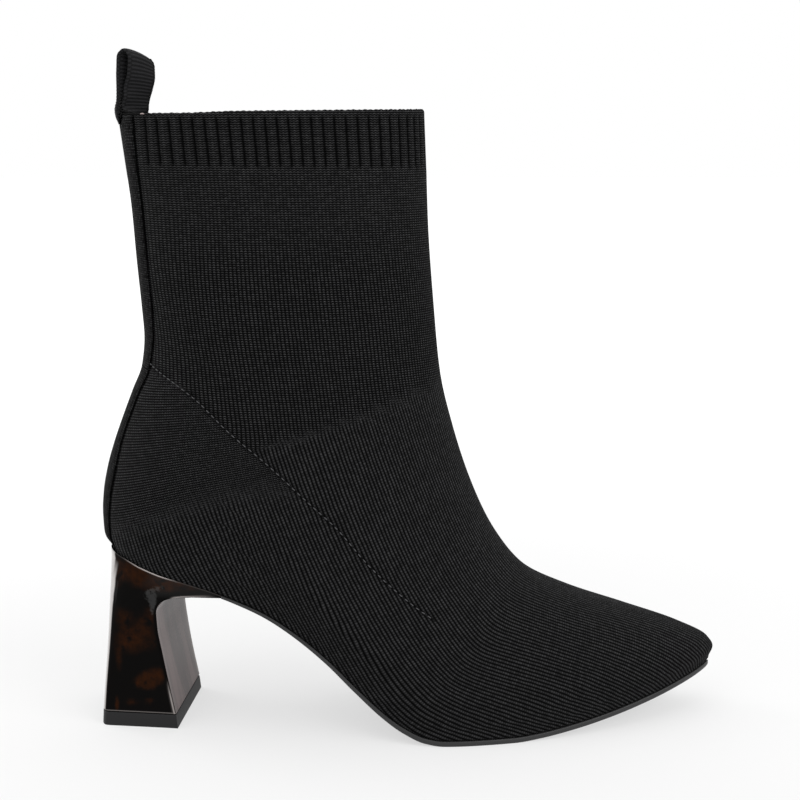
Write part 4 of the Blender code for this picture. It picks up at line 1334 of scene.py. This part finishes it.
def heel_fields(points, around, rings):
    """Patches of amber, painted breast reflection and mirror on the heel, and its gloss as weight, refraction
    and painted highlights.
    """
    fold = np.tile(fold_of(around), rings)
    near = np.tile(around < 0.5, rings)
    row = np.repeat(np.arange(rings), len(around))
    along, height = points[:, 0], points[:, 2]
    corner = 1 - BREAST_SHARE
    front = (fold > corner + 0.001) * 1.0
    # Painted dark reflection in a band along the breast's corner on the side: it takes out amber and gloss
    # there.
    inside = 1 - bell(fold, corner - 0.004, 0.016) * (1 - front)
    strip_end = np.interp(height, STRIP_EDGE["height"], STRIP_EDGE["fold"])
    back = 1 - ease(fold - strip_end, -0.015, 0.015)
    wing = 0.26 * ease(height, 52.0, 55.5) * ease(along, 18.0, 25.0)
    breast = (0.46 + 0.09 * ease(height, 8.0, 30.0)) * front
    weight = np.maximum.reduce([np.full(len(fold), 0.04), wing, back, breast]) * inside
    lights = heel_lights(along, height, fold, near, front, back, row, rings - 1)
    amber, mirror = patches(AMBER, points) * inside, patches(MIRROR, points) * near * inside
    return {
        "amber": np.stack([amber, front, mirror], axis=-1),
        "gloss": np.stack([weight, 1.45 + 0.5 * back, lights], axis=-1),
    }


def build_heel(colours):
    """A flared block heel of tortoiseshell plastic, with a wing that runs forward under the waist."""
    around = heel_places()
    foot = heel_row(0.0)
    foot_up = dict(foot, back_z=foot["back_z"] + 0.35, front_z=foot["front_z"] + 0.35)
    rings = [heel_ring(taken_in(foot, 0.35), around), heel_ring(foot_up, around)]
    rings += [heel_ring(heel_row(place), around) for place in np.linspace(0.06, len(HEEL_SECTIONS) - 1.0, 54)]
    rings.append(heel_seat_ring(around, SOLE_EDGE_INSET, -GAP - WING_EDGE))
    rings.append(heel_seat_ring(around, 0.0, -0.45, 0.9))
    rings.append(heel_seat_ring(around, 0.25, -0.06, 1.0))
    rings.append(heel_seat_ring(around, 1.6, -0.06))
    points = np.concatenate(rings)
    faces = closed_stack(rings, rungs)
    material = tortoiseshell_material(
        colours.shell_dark, colours.shell_amber, colours.shell_breast_painted_reflection, colours.shell_painted_highlight
    )
    fields = heel_fields(points, around, len(rings))
    return add_piece(
        "block_heel", points, faces, material, ("heel",), fields, sharp_angle=32.0
    )


def build_lift(colours):
    """The rubber tip that the heel stands on, with rubbed edges."""
    around = heel_places()
    foot = heel_row(0.0)
    profile = ((0.0, 0.15), (0.05, 0.04), (0.2, 0.0), (5.1, 0.0), (5.3, 0.05), (LIFT, 0.15))
    rings = []
    for height, inset in profile:
        flare = LIFT_FLARE * (1 - height / LIFT)
        row = dict(foot, back_z=height, front_z=height)
        row["back_in"] -= flare / 2
        row["front_x"] += flare
        row["back_half"] += flare / 2
        row["front_half"] += flare / 2
        rings.append(heel_ring(taken_in(row, inset), around))
    faces = closed_stack(rings, rungs)
    points = np.concatenate(rings)
    material = rubber_material("lift rubber", colours.lift, 0.62, 0.4 * MM)
    return add_piece("heel_lift", points, faces, material, ("top_lift",), sharp_angle=40.0)


def aim(obj, target):
    obj.rotation_euler = (Vector(target) - obj.location).to_track_quat("-Z", "Y").to_euler()


def add_light(name, place, target, size, power):
    """A soft rectangular studio light."""
    data = bpy.data.lights.new(name, "AREA")
    data.shape = "RECTANGLE"
    data.size, data.size_y = size
    data.energy = power
    light = bpy.data.objects.new(name, data)
    light.location = place
    bpy.context.scene.collection.objects.link(light)
    aim(light, target)
    return light


def build_floor(colour):
    """A wide pale floor that glows with painted light, more so away from the boot; the glow lifts the boot's
    shadows and whitens the floor.
    """
    reach = 6.0
    bm = bmesh.new()
    bm.faces.new([bm.verts.new((x * reach, y * reach, 0.0)) for x, y in ((-1, -1), (1, -1), (1, 1), (-1, 1))])
    mesh = bpy.data.meshes.new("pale_floor")
    bm.to_mesh(mesh)
    bm.free()
    graph = Graph("pale floor")
    x, y = graph.split(graph.place())[0:2]
    away = graph.math("SQRT", graph.math("MULTIPLY_ADD", x, x, graph.math("MULTIPLY", y, y)))
    graph.set(
        base_color=(*colour, 1.0),
        roughness=0.9,
        specular_ior_level=0.1,
        emission_color=(1.0, 1.0, 1.0, 1.0),
        # Painted light: the floor glows though it is no lamp, more strongly away from the boot.
        emission_strength=graph.math("MULTIPLY_ADD", graph.step(away, 0.15, 1.0), 0.30, 0.60),
    )
    mesh.materials.append(graph.material)
    floor = bpy.data.objects.new("pale_floor", mesh)
    bpy.context.scene.collection.objects.link(floor)
    return floor


def build_stage(stage):
    """Floor, soft lights and the camera at the photograph's angle."""
    build_floor(stage.floor)
    target = (0.0, 0.0, 0.12)
    add_light("key_light", (-0.55, -1.05, 1.35), target, (1.1, 1.1), stage.key_power)
    add_light("fill_light", (1.10, -0.85, 0.80), target, (1.2, 1.0), stage.fill_power)
    add_light("top_light", (0.0, 0.15, 1.60), target, (1.4, 1.4), stage.top_power)
    add_light("back_light", (-1.00, 0.55, 0.55), target, (0.5, 1.2), stage.back_power)
    bpy.context.scene.view_settings.view_transform = "Standard"
    world = bpy.data.worlds.new("studio")
    world.use_nodes = True
    background = world.node_tree.nodes["Background"]
    background.inputs["Color"].default_value = (1.0, 1.0, 1.0, 1.0)
    background.inputs["Strength"].default_value = stage.ambient
    bpy.context.scene.world = world
    data = bpy.data.cameras.new("photo_camera")
    data.sensor_width = 36.0
    data.lens = stage.lens
    camera = bpy.data.objects.new("photo_camera", data)
    camera.location = stage.camera_place
    camera.rotation_euler = (math.radians(90.0) - stage.camera_pitch, 0.0, 0.0)
    bpy.context.scene.collection.objects.link(camera)
    bpy.context.scene.camera = camera


def length_property(name, description, default):
    return bpy.props.FloatProperty(
        name=name, description=description, default=default, unit="LENGTH", precision=5
    )


def colour_property(name, description, default):
    return bpy.props.FloatVectorProperty(
        name=name, description=description, default=default, subtype="COLOR", size=3, min=0.0, max=1.0
    )


def power_property(name, description, default):
    return bpy.props.FloatProperty(name=name, description=description, default=default, unit="POWER", min=0.0)


class BootSizes(bpy.types.PropertyGroup):
    """Sizes of the knit and the trims."""

    rib_depth: length_property("Rib depth", "Depth of the grooves between the cuff's ribs", 0.8 * MM)
    rib_band: length_property("Rib band", "Height of the ribbed cuff", 22.0 * MM)
    wale_pitch: length_property("Wale pitch", "Distance between the ribs of the foot", 1.4 * MM)
    fine_pitch: length_property("Fine pitch", "Distance between the wales of the counter", 1.0 * MM)
    course_pitch: length_property("Course pitch", "Distance between the rows of stitches", 0.885 * MM)
    knit_relief: length_property("Knit relief", "Height of the knit's ribs", 0.35 * MM)
    stitch_length: length_property("Stitch length", "Length of a seam stitch", 1.75 * MM)
    stitch_pitch: length_property("Stitch pitch", "Distance from one seam stitch to the next", 2.75 * MM)
    thread: length_property("Thread", "Thickness of the seam thread", 0.45 * MM)
    webbing_width: length_property("Webbing width", "Width of the pull loop's webbing", 14.0 * MM)
    webbing_rib: length_property("Webbing rib", "Distance between the ribs of the webbing", 1.3 * MM)


class BootColours(bpy.types.PropertyGroup):
    """Colours of the finishes."""

    knit: colour_property("Knit", "Stretch knit", (0.0290, 0.0290, 0.0298))
    tape: colour_property("Tape", "Tapes down the back seam", (0.0175, 0.0175, 0.018))
    thread: colour_property("Thread", "Stitches of the counter's seam", (0.037, 0.037, 0.039))
    tack: colour_property("Tack", "Bar of thread beside the pull loop", (0.30, 0.24, 0.23))
    webbing: colour_property("Webbing", "Pull loop", (0.0085, 0.0085, 0.0092))
    sole: colour_property("Sole", "Rubber outsole", (0.0195, 0.0195, 0.0200))
    lining: colour_property("Lining", "Cloth over the insole", (0.020, 0.019, 0.019))
    shell_dark: colour_property("Shell dark", "Dark ground of the heel", (0.0030, 0.0027, 0.0026))
    shell_amber: colour_property("Shell amber", "Amber patches of the heel", (0.0300, 0.0090, 0.0024))
    # Painted reflection: the breast's colour stands in for the pale room mirrored in it.
    shell_breast_painted_reflection: colour_property("Shell breast", "Breast of the heel", (0.038, 0.026, 0.025))
    # Painted highlight colour for the heel's lit edges.
    shell_painted_highlight: colour_property("Shell shine", "Lit edges of the heel", (0.55, 0.50, 0.48))
    lift: colour_property("Lift", "Rubber tip of the heel", (0.0072, 0.0070, 0.0075))


class BootStage(bpy.types.PropertyGroup):
    """Floor, lights and camera."""

    floor: colour_property("Floor", "Floor", (0.25, 0.25, 0.25))
    key_power: power_property("Key", "Large soft light from the front left", 5.0)
    fill_power: power_property("Fill", "Soft light from the right", 11.5)
    top_power: power_property("Top", "Soft light from above", 5.0)
    back_power: power_property("Back", "Tall light behind the heel", 5.0)
    ambient: bpy.props.FloatProperty(name="Ambient", description="Light from all round", default=1.0, min=0.0)
    lens: bpy.props.FloatProperty(name="Lens", description="Focal length", default=75.24, unit="CAMERA")
    camera_place: bpy.props.FloatVectorProperty(
        name="Camera place", description="Where the camera stands", subtype="TRANSLATION",
        default=(0.1189 + SHIFT[0] * MM, -0.653 + SHIFT[1] * MM, 0.238),
    )
    camera_pitch: bpy.props.FloatProperty(
        name="Camera pitch", description="How far the camera looks down", default=math.radians(9.6),
        subtype="ANGLE",
    )


class BOOT_OT_upper(bpy.types.Operator):
    """Make the knitted upper with its ribbed cuff"""

    bl_idname = "boot.upper"
    bl_label = "Knitted Upper"

    def execute(self, context):
        build_upper(context.scene.boot_sizes, context.scene.boot_colours)
        return {"FINISHED"}


class BOOT_OT_tapes(bpy.types.Operator):
    """Make the tapes down the back seam"""

    bl_idname = "boot.tapes"
    bl_label = "Back Tapes"

    def execute(self, context):
        build_tapes(context.scene.boot_colours)
        return {"FINISHED"}


class BOOT_OT_stitches(bpy.types.Operator):
    """Make the stitches of the counter's seam and the loop's tack"""

    bl_idname = "boot.stitches"
    bl_label = "Stitches"

    def execute(self, context):
        build_stitches(context.scene.boot_sizes, context.scene.boot_colours)
        build_tack(context.scene.boot_sizes, context.scene.boot_colours)
        return {"FINISHED"}


class BOOT_OT_loop(bpy.types.Operator):
    """Make the pull loop of webbing"""

    bl_idname = "boot.loop"
    bl_label = "Pull Loop"

    def execute(self, context):
        build_loop(context.scene.boot_sizes, context.scene.boot_colours)
        return {"FINISHED"}


class BOOT_OT_bottom(bpy.types.Operator):
    """Make the insole and the rubber outsole"""

    bl_idname = "boot.bottom"
    bl_label = "Insole and Outsole"

    def execute(self, context):
        build_insole(context.scene.boot_colours)
        build_outsole(context.scene.boot_colours)
        return {"FINISHED"}


class BOOT_OT_heel(bpy.types.Operator):
    """Make the tortoiseshell block heel and its rubber tip"""

    bl_idname = "boot.heel"
    bl_label = "Heel and Lift"

    def execute(self, context):
        build_heel(context.scene.boot_colours)
        build_lift(context.scene.boot_colours)
        return {"FINISHED"}


class BOOT_OT_stage(bpy.types.Operator):
    """Make the floor, the lights and the camera"""

    bl_idname = "boot.stage"
    bl_label = "Stage"

    def execute(self, context):
        build_stage(context.scene.boot_stage)
        return {"FINISHED"}


OPERATORS = (
    BOOT_OT_upper, BOOT_OT_tapes, BOOT_OT_stitches, BOOT_OT_loop, BOOT_OT_bottom, BOOT_OT_heel, BOOT_OT_stage,
)


class BOOT_PT_pieces(bpy.types.Panel):
    """Lists the boot's pieces"""

    bl_label = "Knitted Ankle Boot"
    bl_space_type = "VIEW_3D"
    bl_region_type = "UI"
    bl_category = "Boot"

    def draw(self, context):
        for operator in OPERATORS:
            self.layout.operator(operator.bl_idname)


GROUPS = {"boot_sizes": BootSizes, "boot_colours": BootColours, "boot_stage": BootStage}
CLASSES = (*GROUPS.values(), *OPERATORS, BOOT_PT_pieces)


def register():
    for cls in CLASSES:
        bpy.utils.register_class(cls)
    for name, group in GROUPS.items():
        setattr(bpy.types.Scene, name, bpy.props.PointerProperty(type=group))


def unregister():
    for name in GROUPS:
        delattr(bpy.types.Scene, name)
    for cls in reversed(CLASSES):
        bpy.utils.unregister_class(cls)


def main():
    register()
    bpy.ops.boot.upper()
    bpy.ops.boot.tapes()
    bpy.ops.boot.stitches()
    bpy.ops.boot.loop()
    bpy.ops.boot.bottom()
    bpy.ops.boot.heel()
    bpy.ops.boot.stage()


if __name__ == "__main__":
    main()
